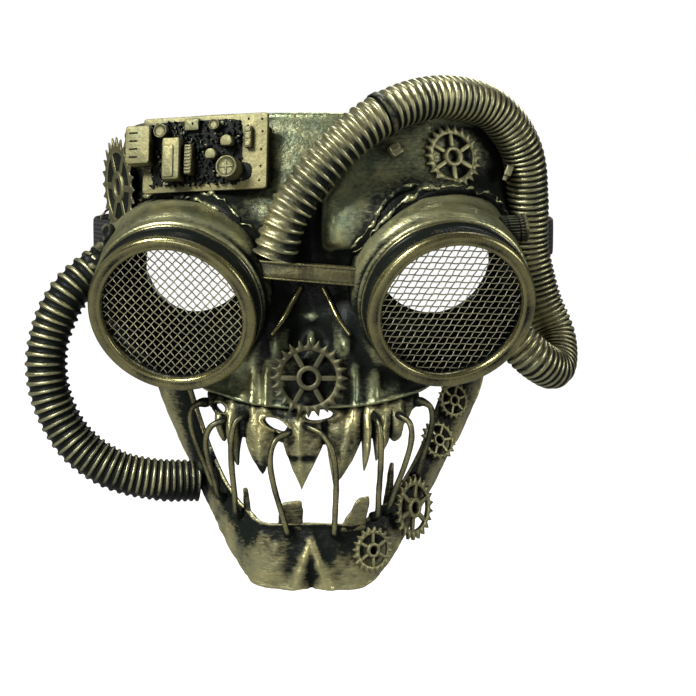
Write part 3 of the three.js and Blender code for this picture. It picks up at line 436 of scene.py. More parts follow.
def brushed_brass(name, brass, green, cover_low, cover_high, wide=0.016, gloss=(0.22, 0.44), grain=0.3,
                  specks=0.8, streak=(1.0, 1.0, 1.0)):
    """Black plastic under brass paint from a dry brush, and painted shade: cover = stand-out + open space +
    patches + specks, ramped.
    """
    material = bpy.data.materials.new(name)
    material.use_nodes = True
    tree = material.node_tree
    shader = tree.nodes["Principled BSDF"]
    place = tree.nodes.new("ShaderNodeTexCoord").outputs["Object"]
    stretched = node(tree, "ShaderNodeMapping", Scale=streak)
    tree.links.new(place, stretched.inputs["Vector"])

    def cloud(scale, detail, source):
        made = node(tree, "ShaderNodeTexNoise", Scale=scale, Detail=detail, Roughness=0.6)
        tree.links.new(source, made.inputs["Vector"])
        return made.outputs["Fac"]

    def attribute(key):
        made = tree.nodes.new("ShaderNodeAttribute")
        made.attribute_name = key
        return made.outputs["Fac"]

    def open_space(distance):
        made = node(tree, "ShaderNodeAmbientOcclusion", Distance=distance)
        made.samples = 6
        return made.outputs["AO"]

    patches = cloud(PATCH_SCALE, 4.0, place)
    fine = cloud(SPECK_SCALE, 5.0, stretched.outputs["Vector"])
    # Painted shade over the paint that the brush misses: little open space round a point, in hollows and
    # where parts meet, takes the brass away.
    cover = sum_of(tree, [(attribute("raised_and_lit"), 1.0), (open_space(wide), 0.9), (open_space(NEAR_SPACE), 0.5),
                          (patches, 0.7), (fine, specks), (attribute("inside"), -4.0)])
    cover = ramp(tree, cover, cover_low + 0.5 * specks, cover_high + 0.5 * specks)
    paint = blended(tree, ramp(tree, patches, 0.35, 0.65), green, brass)
    tree.links.new(blended(tree, cover, BLACK, paint), shader.inputs["Base Color"])
    tree.links.new(ramp(tree, cover, 0.0, 1.0, 0.0, 0.92), shader.inputs["Metallic"])
    tree.links.new(ramp(tree, cover, 0.0, 1.0, 0.08, 0.5), shader.inputs["Specular IOR Level"])
    tree.links.new(ramp(tree, fine, 0.25, 0.75, *gloss), shader.inputs["Roughness"])
    relief = node(tree, "ShaderNodeBump", Strength=grain, Distance=GRAIN_HEIGHT)
    height = sum_of(tree, [(fine, 0.7), (cloud(GRAIN_SCALE, 3.0, place), 0.8)])
    tree.links.new(height, relief.inputs["Height"])
    tree.links.new(relief.outputs["Normal"], shader.inputs["Normal"])
    return material


# %% The brass finishes
made_before = len(bpy.data.materials)
skull_brass = brushed_brass("skull_brass", (0.47, 0.465, 0.235, 1), (0.24, 0.30, 0.18, 1), 1.5, 2.6,
                            grain=0.6, specks=1.0, streak=(0.6, 0.6, 1.3))
jaw_brass = brushed_brass("jaw_brass", (0.64, 0.57, 0.26, 1), (0.38, 0.38, 0.20, 1), 1.2, 2.9,
                          grain=0.8, specks=1.4, streak=(0.4, 0.4, 1.4))
tube_brass = brushed_brass("tube_brass", (0.56, 0.54, 0.27, 1), (0.35, 0.37, 0.21, 1), 1.5, 2.5,
                           grain=0.45, specks=1.2, streak=(0.5, 0.5, 1.2))
hose_brass = brushed_brass("hose_brass", (0.46, 0.43, 0.23, 1), (0.30, 0.30, 0.17, 1), 1.45, 2.2,
                           gloss=(0.28, 0.48))
trim_brass = brushed_brass("trim_brass", (0.285, 0.262, 0.115, 1), (0.20, 0.186, 0.088, 1), 1.1, 2.0,
                           wide=0.01, gloss=(0.18, 0.34), grain=0.12)
gear_brass = brushed_brass("gear_brass", (0.30, 0.285, 0.145, 1), (0.20, 0.195, 0.105, 1), 1.2, 2.1,
                           wide=0.01, gloss=(0.4, 0.6), grain=0.2)
# Painted shade: a darker copy of the gear brass, for the nose gear, which sits in shade.
dark_brass = brushed_brass("dark_brass", (0.13, 0.12, 0.06, 1), (0.08, 0.078, 0.042, 1), 1.2, 2.3,
                           wide=0.01, gloss=(0.35, 0.6), grain=0.3)
rod_brass = brushed_brass("rod_brass", (0.40, 0.365, 0.165, 1), (0.24, 0.23, 0.11, 1), 1.3, 2.4,
                          wide=0.01, gloss=(0.2, 0.35), grain=0.12)
wire_brass = brushed_brass("wire_brass", (0.66, 0.63, 0.40, 1), (0.54, 0.52, 0.34, 1), 0.0, 0.6,
                           wide=0.002, grain=0.05)
board_brass = brushed_brass("board_brass", (0.21, 0.19, 0.09, 1), (0.15, 0.15, 0.08, 1), 1.55, 2.2,
                            wide=0.009, gloss=(0.45, 0.65), grain=0.35)
print("brass finishes:", len(bpy.data.materials) - made_before)

# %% Woven elastic
def woven_elastic():
    """Black elastic: fine ribs along the band and a weave across them, from waves on its own width."""
    material = bpy.data.materials.new("black_elastic")
    material.use_nodes = True
    tree = material.node_tree
    shader = tree.nodes["Principled BSDF"]
    place = tree.nodes.new("ShaderNodeTexCoord").outputs["Object"]
    ribs = node(tree, "ShaderNodeTexWave", Scale=160.0, Distortion=0.4, Detail=1.0)
    ribs.bands_direction = "Z"
    tree.links.new(place, ribs.inputs["Vector"])
    threads = node(tree, "ShaderNodeTexNoise", Scale=1400.0, Detail=2.0)
    tree.links.new(place, threads.inputs["Vector"])
    weave = sum_of(tree, [(ribs.outputs["Fac"], 0.7), (threads.outputs["Fac"], 0.6)])
    tone = blended(tree, ramp(tree, weave, 0.3, 1.1), (0.006, 0.006, 0.007, 1), (0.03, 0.03, 0.032, 1))
    tree.links.new(tone, shader.inputs["Base Color"])
    shader.inputs["Roughness"].default_value = 0.85
    relief = node(tree, "ShaderNodeBump", Strength=0.6, Distance=0.0005)
    tree.links.new(weave, relief.inputs["Height"])
    tree.links.new(relief.outputs["Normal"], shader.inputs["Normal"])
    return material


elastic = woven_elastic()
print("finishes:", len(bpy.data.materials) - made_before)

# %% [markdown]
# # Goggle places
# Both goggles look outwards and down. Each has its own axes: across, up, and ahead, the way it looks.
# The face needs them first, because its skin swells where a goggle's tube grows out of it.

# %% Goggle places
GOGGLE_PITCH = np.radians(21.0)
# Side, middle of the front plane, and turn outwards in degrees.
GOGGLE_PLACES = {"left": (-1, (-57.0, -24.5, -20.0), 9.0), "right": (1, (58.8, -23.0, -18.0), 15.0)}
CUP_RADIUS = 36.8
# The tube's radius at its foot, all round it: degrees from its right side, and millimetres.
TUBE_FOOT = {
    "left": [
        (0, 36.8), (20, 36.4), (40, 35.6), (50, 35.5), (60, 35), (70, 33.8), (80, 32.5), (90, 31.6),
        (105, 31.6), (120, 33), (130, 33.8), (140, 35.5), (150, 37.8), (160, 41), (170, 46), (180, 48),
        (200, 44), (220, 39.5), (240, 36.8), (360, 36.8),
    ],
    "right": [
        (0, 38.5), (10, 38.8), (20, 38.3), (30, 37.4), (40, 37), (50, 36), (60, 34.5), (70, 33.5),
        (80, 32.8), (90, 32.3), (110, 32.8), (120, 34), (130, 35), (140, 36.2), (150, 36.8), (165, 36.8),
        (320, 36.8), (345, 37.4), (360, 38.5),
    ],
}


def goggle_axes(side, outwards):
    """Across, upward and ahead of a goggle, from its turn outwards and its pitch."""
    yaw = np.radians(outwards) * side
    flat = np.cos(GOGGLE_PITCH)
    ahead = np.array([flat * np.sin(yaw), -flat * np.cos(yaw), -np.sin(GOGGLE_PITCH)])
    across = np.array([np.cos(yaw), np.sin(yaw), 0.0])
    return np.stack([across, np.cross(ahead, across), ahead])


GOGGLES = {word: {"side": side, "middle": np.array(middle), "axes": goggle_axes(side, outwards)}
           for word, (side, middle, outwards) in GOGGLE_PLACES.items()}


def foot_radius(word, angle):
    """The tube's radius at its foot at an angle: drawn in on top, and spread towards the temple."""
    degrees, radii = np.transpose(TUBE_FOOT[word])
    return np.interp(np.degrees(angle) % 360, degrees, radii)


def in_goggle(points, goggle):
    """Points in a goggle's own axes: across, up and ahead of its front plane."""
    return (points - goggle["middle"]) @ goggle["axes"].T


def from_goggle(local, goggle):
    """Points given in a goggle's own axes, in the frame of the mask."""
    return local @ goggle["axes"] + goggle["middle"]


print("middles of the goggles:", [goggle["middle"].tolist() for goggle in GOGGLES.values()])

# %% [markdown]
# # The face
# The skull is a thin wall bent round the wearer's face. Each level is half of a rounded oval, whose
# width and depth come from a table, and soft lumps make the brows, the nose and the cheeks. On top of
# that comes what the mould has cut into it: a rise to each goggle's tube, the nose, the roots of the
# teeth, a lip along the seam. It could be sculpted by hand, but a formula gives the same face to every
# piece on it.

# %% The face's skin
WALL = 2.5
CROWN_Z, CROWN_DROP, DROP_FROM_Z = 62.0, 12.0, 8.0
SEAM_Z = -59.5
# Small steps of turn and level, by which the skin's normal is found.
TURN_STEP, LEVEL_STEP = 0.004, 0.4
# Level, half width, depth of the middle line, depth of the back edge, squareness.
FACE = np.array([
    [-98, 41, -14.5, 8, 2.3], [-75, 44.5, -16.5, 8, 2.3], [-60, 47, -16, 11, 2.2], [-48, 53, -14.5, 24, 2.1],
    [-36, 67, -12, 42, 2], [-24, 80, -9, 57, 2], [-12, 86, -3.5, 64, 2], [0, 88, -2.5, 66, 2.05],
    [12, 89, -4.5, 66, 2.1], [28, 89, -3, 66, 2.15], [45, 88, 2, 64, 2.15], [66, 83.5, 11, 61, 2.15],
], float)
# Lumps and hollows on both sides: x, z, reach across, reach up, height.
FACE_RELIEF = [
    (38, 20, 24, 10, 7), (15, 16, 9, 12, 3.5), (0, 18, 5, 18, -4), (80, 8, 10, 20, -3),
    (0, -27, 8, 9, -6), (13, -27, 4.5, 10, 3), (38, -45, 12, 9, -4.5),
]


def face_point(turn, level):
    """A point of the skin: turn runs from -1 to 1 round half an oval, and the level picks that oval."""
    half_width, front_y, back_y, square = (smooth_value(FACE[:, 0], FACE[:, k], level) for k in range(1, 5))
    angle = turn * np.pi / 2
    across = np.sign(angle) * np.abs(np.sin(angle)) ** (2 / square)
    ahead = np.abs(np.cos(angle)) ** (2 / square)
    depth = back_y - front_y
    x = half_width * across
    out_x, out_y = across / half_width, -ahead / depth
    height = bells(np.abs(x), level, FACE_RELIEF) / np.hypot(out_x, out_y)
    drop = CROWN_DROP * (1 - ahead) * np.maximum(0, (level - DROP_FROM_Z) / (CROWN_Z - DROP_FROM_Z))
    return np.stack([x + height * out_x, back_y - depth * ahead + height * out_y, level - drop], -1)


def turn_at(x, level):
    """The turn at which the skin on a level has this x."""
    half_width = smooth_value(FACE[:, 0], FACE[:, 1], level)
    square = smooth_value(FACE[:, 0], FACE[:, 4], level)
    sine = np.minimum(1, np.abs(x) / half_width) ** (square / 2)
    return np.sign(x) * np.arcsin(sine) * 2 / np.pi


def face_normal(turn, level):
    """The outward normal, from small steps of turn and level."""
    turn = np.clip(turn, TURN_STEP - 1, 1 - TURN_STEP)
    across = face_point(turn + TURN_STEP, level) - face_point(turn - TURN_STEP, level)
    upward = face_point(turn, level + LEVEL_STEP) - face_point(turn, level - LEVEL_STEP)
    return unit(np.cross(across, upward))


def on_face(x, level, lift=0.0):
    """Place and normal over the skin at this x on a level."""
    x, level = np.asarray(x, float), np.asarray(level, float)
    turn = turn_at(x, level)
    normal = face_normal(turn, level)
    return face_point(turn, level) + normal * np.asarray(lift, float)[..., None], normal


def face_depth(x, z):
    """The skin's y at a given x and z: turn and level are stepped until the point lands there."""
    guess, level = np.array(x, float), np.array(z, float)
    for _ in range(10):
        point = face_point(turn_at(guess, level), level)
        guess = guess + (x - point[..., 0])
        level = level + (z - point[..., 2])
    return point[..., 1]


print("levels in the face's table:", len(FACE))

# %% Relief that the mould cuts into the face
# Roots of the teeth: x, width, height.
ROOTS = [
    (-36, 2.6, 0.9), (-24.2, 2.0, 1.7), (-18.3, 1.7, 2.2), (18.2, 2.0, 2.3), (26.3, 2.4, 1.7), (35, 2.6, 0.9),
]
SEAM_RISE, SEAM_END_X, SEAM_BEND = 5.5, 47.0, 2.2
TUBE_RISE, LOBE_HEIGHT = 3.2, 3.0
# Places painted darker, as painted shade and thin paint, and below nought lighter, as painted highlights: x,
# z, reach across, reach up, how much darker.
SHADE_AND_HIGHLIGHT_PLACES = [
    (0, -14, 16, 17, 1.1), (-23, -18, 10, 22, 1.2), (23, -18, 10, 22, 1.2), (44, -48, 11, 10, 0.5),
    (76, 38, 9, 18, 0.7), (-72, 34, 8, 12, 0.6), (-38, 22, 30, 6, 0.5), (-2, 16, 5, 16, 0.8),
    (0, -47, 14, 11, 0.7), (22, 3, 16, 5, 0.7), (40, 34, 30, 16, 0.3), (24, 16, 16, 9, 0.65),
    (8, 8, 4, 6, -0.6), (9, 18, 4, 9, -0.7), (-33, -50, 16, 12, -1.1), (-15.4, -34.5, 1.5, 3, -1.3),
    (13.4, -34, 2, 3, -1.2), (-13, -26, 6, 8, 0.5), (13, -26, 6, 8, 0.5), (-0.8, -21.4, 5, 1.4, -0.8),
    (-0.6, -30.5, 1.6, 2.4, -1.0),
]


def seam_level(x):
    """The seam's level: flat over the teeth, and rising to both ends with a little waver."""
    waver = 0.5 * noise(np.stack([x, 0 * x, 0 * x], -1), 9.0)
    return SEAM_Z + SEAM_RISE * np.minimum(1, np.abs(x) / SEAM_END_X) ** SEAM_BEND + waver


def round_goggles(points):
    """Skin that rises to each goggle's tube: a bell curve of the distance from the tube's foot."""
    rise = np.zeros(points.shape[:-1])
    for word, goggle in GOGGLES.items():
        across, upward, _ = np.moveaxis(in_goggle(points, goggle), -1, 0)
        distance = np.hypot(across, upward) - foot_radius(word, np.arctan2(upward, across))
        rise += TUBE_RISE * np.where(distance > 0, bump(distance, 4.5), bump(distance, 1.2))
    return rise


def forehead_lobe(x, z):
    """The smooth bulge right of the long hose: its left edge leans over with the hose."""
    left_edge = 3 + 0.6 * np.maximum(0, z - 26)
    return step(x - left_edge, 0, 5) * step(z, 4, 11) * step(-x, -75, -45)


def nose(x, z):
    """The nose: a tip with a hollow on either side, a bridge over it, and a knob at each wing."""
    aside = np.abs(x)
    tip = 2.6 * bump(x, 2.2) * bump(z + 32, 3.5)
    hollows = 3.0 * bump(aside - 5.5, 3.0) * bump(z + 32, 4.5)
    bridge = 2.0 * bump(x, 4.5) * bump(z + 23, 3.0)
    wings = 1.6 * bump(np.hypot(aside - 14.2, 0.8 * (z + 33.5)), 2.0)
    return tip - hollows + bridge + wings


def cut_relief(points, level, seam):
    """What the mould adds along the normal: rises to the tubes, lobe, nose, roots, lips and unevenness."""
    x = points[..., 0]
    relief = round_goggles(points) + LOBE_HEIGHT * forehead_lobe(x, level) + nose(x, level)
    for centre, width, height in ROOTS:
        relief += height * bump(x - centre, width) * step(-level, 36, 50)
    relief += bump(level - seam - 0.9, 0.8) + 0.8 * bump(level - CROWN_Z + 1.5, 1.4)
    smooth = 1 - 0.65 * step(level, 0, 14)
    pits = 0.28 * rough(points, 6.0, 2) + 0.12 * rough(points, 1.8, 2)
    return relief + 0.4 * noise(points, 18.0) + smooth * pits


print("shade and highlight places:", len(SHADE_AND_HIGHLIGHT_PLACES))

# %% [markdown]
# # The skull shell
# The wall is two grids: the skin, and the same grid moved inwards by its thickness. The eye holes are
# left out of the cells, and the points round each hole slide onto its oval, so the edge is smooth.

# %% Skull shell
EYE_X, EYE_Z, EYE_HALF_WIDTH, EYE_HALF_HEIGHT = 52.0, -1.0, 24.5, 20.5
SHELL_ROWS, SHELL_COLUMNS = 170, 260


def cut_ovals(outer, inner, ovals):
    """Leaves out the cells inside each oval, and slides its rim's points onto the oval, seen from ahead."""
    keep = np.ones((outer.shape[0] - 1, outer.shape[1] - 1), bool)
    for cx, cz, half_width, half_height, tilt in ovals:
        turned = np.array([[np.cos(tilt), np.sin(tilt)], [-np.sin(tilt), np.cos(tilt)]])
        offset = (outer[..., [0, 2]] - (cx, cz)) @ turned.T / (half_width, half_height)
        reach = np.linalg.norm(offset, axis=-1)
        centre = 0.25 * (reach[:-1, :-1] + reach[1:, :-1] + reach[:-1, 1:] + reach[1:, 1:])
        hole = centre < 1
        keep &= ~hole
        pad = np.pad(hole, 1)
        around = np.stack([pad[:-1, :-1], pad[1:, :-1], pad[:-1, 1:], pad[1:, 1:]])
        rim = around.any(0) & ~around.all(0)
        slide = (offset[rim] / reach[rim][:, None] - offset[rim]) * (half_width, half_height) @ turned
        for grid in (outer, inner):
            normal = grid_normals(grid)[rim]
            ny = np.where(np.abs(normal[:, 1]) < 0.2, -0.2, normal[:, 1])
            dy = -(normal[:, 0] * slide[:, 0] + normal[:, 2] * slide[:, 1]) / ny
            grid[rim] += np.stack([slide[:, 0], dy, slide[:, 1]], -1)
    return keep


def skull_shell():
    """The wall of the face with its eye holes, and how far each point of its skin stands out, with painted
    shade and painted highlights in places.
    """
    turns = np.linspace(-1, 1, SHELL_COLUMNS)[None, :]
    seam = seam_level(face_point(turns, np.full(turns.shape, SEAM_Z))[..., 0])
    part = np.linspace(0, 1, SHELL_ROWS)[:, None]
    levels = CROWN_Z + (seam - CROWN_Z) * part
    turns = np.broadcast_to(turns, levels.shape)
    base = face_point(turns, levels)
    normal = face_normal(turns, levels)
    outer = base + normal * cut_relief(base, levels, seam)[..., None]
    inner = base - normal * WALL
    # Painted shade and painted highlights from the table of places.
    raised_and_lit = standing_out(outer, normal, 0.9, FINE_BLUR) - bells(base[..., 0], levels, SHADE_AND_HIGHLIGHT_PLACES)
    # Painted shade: darker where the skin rises to each goggle's tube, above the goggles' lower half, in the
    # crease at the tube's foot.
    raised_and_lit -= 0.3 * round_goggles(base) * step(levels, -25, 0)
    ovals = [(side * EYE_X, EYE_Z, EYE_HALF_WIDTH, EYE_HALF_HEIGHT, 0.0) for side in (-1, 1)]
    keep = cut_ovals(outer, inner, ovals)
    shell = wall(outer, inner, keep, raised_and_lit)
    # The skin inside a goggle's tube stays black: bare black plastic, and painted shade inside the tube.
    for goggle in GOGGLES.values():
        across, upward, _ = np.moveaxis(in_goggle(shell["points"], goggle), -1, 0)
        shell["inside"] = np.maximum(shell["inside"], step(-np.hypot(across, upward), -35.5, -33.5))
    return shell


add_piece("skull", skull_shell(), skull_brass, ["skull_shell"])

# %% [markdown]
# # Upper teeth
# Under the seam hangs one strip with long broken fangs. Its lower edge is the lowest of all the
# teeth's outlines at each place. Every tooth bulges across its width, like a rounded horn.

# %% Upper teeth
# Tip x, tip z, reach to the left, reach to the right, bluntness, and x of the ridge at the root.
TEETH = [
    (-40.5, -75, 3, 2, 1.2, -40), (-34.5, -85, 3, 3.5, 1, -34), (-22, -87.5, 6.5, 7.5, 1.4, -20.5),
    (-4, -94.5, 7.5, 9, 1, -4.5), (10, -92.5, 3.5, 12, 1.2, 17.5), (24, -86, 2, 2, 1.6, 24),
    (29.5, -82.5, 2.5, 5, 1, 31), (38, -74.5, 3, 3, 1.6, 38),
]
GUM_Z, GUM_SAG, GUM_SAG_REACH, TOOTH_WALL, STRIP_HALF = -72.3, 2.5, 16.0, 2.4, 46.8
# Slots in the gum: x, z, half width, half height, tilt.
SLOTS = [(-39.0, -60.6, 2.9, 1.8, -0.35), (-14.2, -66.0, 6.0, 2.2, -0.42), (3.6, -61.9, 5.8, 2.1, 0.1)]
BROKEN_X, BROKEN_Z = -4.0, -78.6
TEETH_ROWS, TEETH_COLUMNS = 66, 480


def tooth_edge(x):
    """The strip's lower edge: the lowest of the gum line and all the teeth's outlines, a little chipped."""
    gum = GUM_Z - GUM_SAG * bump(x, GUM_SAG_REACH) + 12 * step(np.abs(x), 37, 48)
    edge = gum
    for tip_x, tip_z, left, right, blunt, _ in TEETH:
        away = np.minimum(1, np.abs(x - tip_x) / np.where(x < tip_x, left, right))
        edge = np.minimum(edge, tip_z + (gum - tip_z) * away**blunt)
    return edge + 0.4 * noise(np.stack([x, 0 * x, 0 * x], -1), 1.5)


def tooth_swell(x, z):
    """The teeth's height over the strip, and painted light on them: round bodies with a ridge line, painted
    highlights on bodies, ridges and roots.
    """
    swell, bright = np.zeros(x.shape), np.zeros(x.shape)
    for tip_x, tip_z, left, right, _, root_x in TEETH:
        away = (x - tip_x) / np.where(x < tip_x, left, right)
        body = np.sqrt(np.clip(1 - away**2, 0, 1)) * step(-z, 58, 68)
        down = np.clip((z + 60) / (tip_z + 60), 0, 1)
        ridge = bump(x - root_x - (tip_x - root_x) * down, 1.5) * step(z - tip_z, 0, 8)
        swell = np.maximum(swell, 2.7 * body * step(z - tip_z, -1, 12) + 0.5 * body + 0.8 * ridge)
        bright = np.maximum(bright, 0.22 * body + 0.8 * ridge)
    for centre, width, height in ROOTS:
        swell += 0.6 * height * bump(x - centre, width) * step(z, -74, -62)
        bright += 0.3 * bump(x - centre, width) * step(z, -74, -62)
    # Painted highlight on the smooth spike below the broken step, a painted shadow just above it, and the
    # third tooth of the table darker at its tip.
    below = step(-z, -BROKEN_Z, -BROKEN_Z + 0.8) * bump(x - BROKEN_X, 9)
    shadow = bump(z - BROKEN_Z + 1.2, 2.2) * bump(x - BROKEN_X, 9)
    dark_tip = bump(x - TEETH[2][0], 6) * step(-z, 78, 83)
    return swell - 1.4 * below, bright + 0.5 * below - shadow - 0.8 * dark_tip


def upper_teeth():
    """The strip: z runs from just under the seam to the toothed edge, and the teeth swell over it."""
    x = np.linspace(-STRIP_HALF, STRIP_HALF, TEETH_COLUMNS)
    top, edge = seam_level(x) + 0.7, tooth_edge(x)
    part = np.linspace(0, 1, TEETH_ROWS)[:, None]
    level = top + (edge - top) * part
    columns = np.broadcast_to(x, level.shape)
    turn = turn_at(columns, np.broadcast_to(top, level.shape))
    base, normal = face_point(turn, level), face_normal(turn, level)
    swell, bright = tooth_swell(columns, level)
    pits = 0.3 * rough(base, 4.0, 3) + 0.15 * rough(base, 1.5, 2)
    swell = swell + pits - 0.5 - 1.3 * bump(level - top, 1.6)
    for cx, cz, half_width, half_height, tilt in SLOTS:
        dx, dz = columns - cx, level - cz
        across = (dx * np.cos(tilt) + dz * np.sin(tilt)) / half_width
        upward = (dz * np.cos(tilt) - dx * np.sin(tilt)) / half_height
        lip = bump(np.hypot(across, upward) - 1.22, 0.28)
        swell, bright = swell + 1.2 * lip, bright + 0.3 * lip
    thin = step(part, 0.97, 1.0) * 0.9
    outer = base + normal * (swell - thin)[..., None]
    inner = base + normal * (0.35 * swell - TOOTH_WALL + thin)[..., None]
    raised_and_lit = standing_out(outer, normal, 1.1, COARSE_BLUR) - 0.7 + bright
    keep = cut_ovals(outer, inner, SLOTS)
    return wall(outer, inner, keep, raised_and_lit)


add_piece("fangs", upper_teeth(), jaw_brass, ["upper_teeth"])

# %% [markdown]
# # Lower jaw
# The jaw is a bent band from temple to temple round the chin. A table gives its lower and its upper
# edge, and between them the band swells. Two ridges run down the chin, with a dark groove between.

# %% Lower jaw
# Lower edge x, y, z and upper edge x, y, z, from the chin back to the temple.
JAW = np.array([
    [0, -11, -137.5, 0, -13, -108], [21, -10, -137, 19.5, -11, -108.5], [31, -1, -129.5, 26.5, -5, -105],
    [40, 12, -117, 32.5, 3, -101], [49, 27, -103.5, 38.5, 13, -94.5], [57.5, 40, -89, 44, 22, -86],
    [65.5, 50, -75, 49.5, 31, -74.5], [72.5, 56.5, -58, 56, 39, -58], [74.5, 58, -38, 64, 45, -38],
    [76, 57, -19, 72, 45, -19],
], float)
JAW_ALONG = np.linspace(0, 1, len(JAW))
JAW_BULGE, JAW_FLARE, JAW_FADE = 3.0, 1.6, 3.2
CHIN_RIDGE, CHIN_RIDGE_SPREAD, CHIN_RIDGE_WIDTH, CHIN_RIDGE_TOP = 2.4, 7.5, 3.2, 0.8
# Broken lower teeth: place along the jaw, half width of the foot, shift and half width of the tip, height
# and paint; the third stump has more, as a painted highlight.
STUMPS = [
    (-0.235, 1.8, -1.5, 0.7, 9, -0.2), (-0.047, 5.6, 0.6, 4.6, 9, -0.3),
    (0.092, 5.6, 5.2, 2.6, 11, 0.15), (0.315, 3, 2.6, 0.8, 16, -0.3),
]
JAW_ROWS, JAW_COLUMNS = 64, 380
# Small steps along and up, by which the jaw's normal is found.
ALONG_STEP, UP_STEP = 0.006, 0.02


def jaw_point(along, up):
    """A point of the jaw's outer face: along runs from -1 to 1 round the chin, and up from edge to edge."""
    along, up = np.broadcast_arrays(np.asarray(along, float), np.asarray(up, float))
    side = np.where(along < 0, -1.0, 1.0)
    value = [smooth_value(JAW_ALONG, JAW[:, k], np.abs(along)) for k in range(6)]
    low = np.stack([side * value[0], value[1], value[2]], -1)
    top = np.stack([side * value[3], value[4], value[5]], -1)
    point = low + (top - low) * up[..., None]
    out = np.stack([np.sin(along * JAW_FLARE), -np.cos(along * JAW_FLARE), 0 * along], -1)
    fade = np.minimum(1, JAW_FADE * (1 - np.abs(along)))
    ridge_x = CHIN_RIDGE_SPREAD * (1 - up / CHIN_RIDGE_TOP)
    ridge = CHIN_RIDGE * bump(np.abs(point[..., 0]) - ridge_x, CHIN_RIDGE_WIDTH) * (1 - up)
    swell = JAW_BULGE * np.sin(np.pi * up) * fade + ridge * (up < CHIN_RIDGE_TOP)
    return point + out * swell[..., None]


def jaw_normal(along, up):
    """The jaw's outward normal, from small steps along and up."""
    along = np.clip(along, ALONG_STEP - 1, 1 - ALONG_STEP)
    across = jaw_point(along + ALONG_STEP, up) - jaw_point(along - ALONG_STEP, up)
    upward = jaw_point(along, up + UP_STEP) - jaw_point(along, up - UP_STEP)
    return unit(np.cross(across, upward))


def on_jaw(along, up, lift=0.0):
    """Place and normal over the jaw's outer face."""
    normal = jaw_normal(np.asarray(along, float), np.asarray(up, float))
    return jaw_point(along, up) + normal * lift, normal


# %% Lower jaw's surface
def lower_jaw():
    """The band of the jaw with its chin ridges, lips along both edges, and a pitted surface."""
    along, up = np.meshgrid(np.linspace(-1, 1, JAW_COLUMNS), np.linspace(0, 1, JAW_ROWS))
    base, normal = jaw_point(along, up), jaw_normal(along, up)
    x = base[..., 0]
    calm = 1 - 0.7 * step(np.abs(along), 0.3, 0.5)
    relief = 0.45 * rough(base, 9.0, 2) + calm * (0.26 * rough(base, 3.0, 3) + 0.14 * rough(base, 1.3, 2))
    relief += 0.9 * bump(up - 0.97, 0.04) + 0.5 * bump(up - 0.03, 0.04)
    off_crest = np.abs(x) - CHIN_RIDGE_SPREAD * (1 - up / CHIN_RIDGE_TOP)
    chin = step(-up, -CHIN_RIDGE_TOP, -CHIN_RIDGE_TOP + 0.1)
    relief += chin * step(up, 0.0, 0.12) * (1.1 * bump(off_crest, 1.1) - 0.3 * bump(off_crest - 4.0, 3.0))
    relief -= 1.6 * bump(x, 0.7) * step(-up, -0.6, -0.2)
    thin = 0.8 * (step(up, 0.98, 1.0) + step(-up, -0.02, 0.0))
    outer = base + normal * (relief - thin)[..., None]
    inner = base + normal * (0.3 * relief - WALL + thin)[..., None]
    # Painted highlight on the chin's ridges; darker in the groove between them and over the upper half,
    # lighter along the lower edge and on the upper lip.
    paint = 0.7 * chin * (bump(off_crest, 1.3) - 0.15 * bump(off_crest - 3.6, 2.6))
    paint += 0.6 * bump(up - 0.05, 0.25) - 0.75 * step(up, 0.3, 0.8) + 1.2 * step(up, 0.955, 0.99)
    paint += 0.4 * rough(base, 13.0, 2) - 0.3
    paint -= 0.7 * bump(x, 0.8) * step(-up, -0.6, -0.2)
    raised_and_lit = standing_out(outer, normal, 1.1, COARSE_BLUR) - 0.35 + paint
    return wall(outer, inner, raised_and_lit=raised_and_lit)


def squared(wave):
    """A cosine or sine drawn towards its ends, which squares the oval that it makes."""
    return np.sign(wave) * np.abs(wave) ** 0.45


def stump(along, foot_half, tip_shift, tip_half, height, paint):
    """A broken tooth: flat rounded sections stacked from its foot in the jaw's edge to its tip."""
    foot, _ = on_jaw(along, 0.9, -WALL / 2)
    beside, _ = on_jaw(along + ALONG_STEP, 0.9, -WALL / 2)
    level = unit((beside - foot) * (1, 1, 0))
    inward = np.array([-level[1], level[0], 0.0])
    rise = np.linspace(0, 1, 14)
    total = jaw_point(along, 1.0)[2] - foot[2] + height
    angle = full_turn(24)
    half = foot_half + (tip_half - foot_half) * rise
    round_tip = 1 - 0.25 * step(rise, 0.93, 1.0)
    across = (half * round_tip)[:, None] * squared(np.cos(angle)) + (tip_shift * rise)[:, None]
    deep = ((1.25 - 0.35 * rise) * round_tip)[:, None] * squared(np.sin(angle))
    rings = foot + across[..., None] * level + deep[..., None] * inward
    slant = 0.16 * rise[:, None] * (across - (tip_shift * rise)[:, None])
    rings = rings + ((total * rise)[:, None] + slant)[..., None] * np.array([0, 0, 1.0])
    rings = rings + 0.3 * rough(rings, 2.4, 2)[..., None] * level
    return capped(rings, paint + 0.7 * step(rise, 0.8, 1.0))


add_piece("jaw", [lower_jaw()] + [stump(*row) for row in STUMPS], jaw_brass, ["lower_jaw"])

# %% [markdown]
# # Stacked outlines
# Blocks, cans and plates are outlines stacked on each other: the outline is drawn in a little at the
# foot and at the top, which gives every edge a small round, where paint wears thin.

# %% Stacked outlines
def superellipse(half_width, half_height, square=8.0, count=48):
    """A rounded rectangle: an oval whose corners fill out more, the higher the power of its formula."""
    angle = full_turn(count) + np.pi / count
    c, s = np.cos(angle), np.sin(angle)
    size = (np.abs(c) ** square + np.abs(s) ** square) ** (-1 / square)
    return np.stack([half_width * size * c, half_height * size * s], -1)


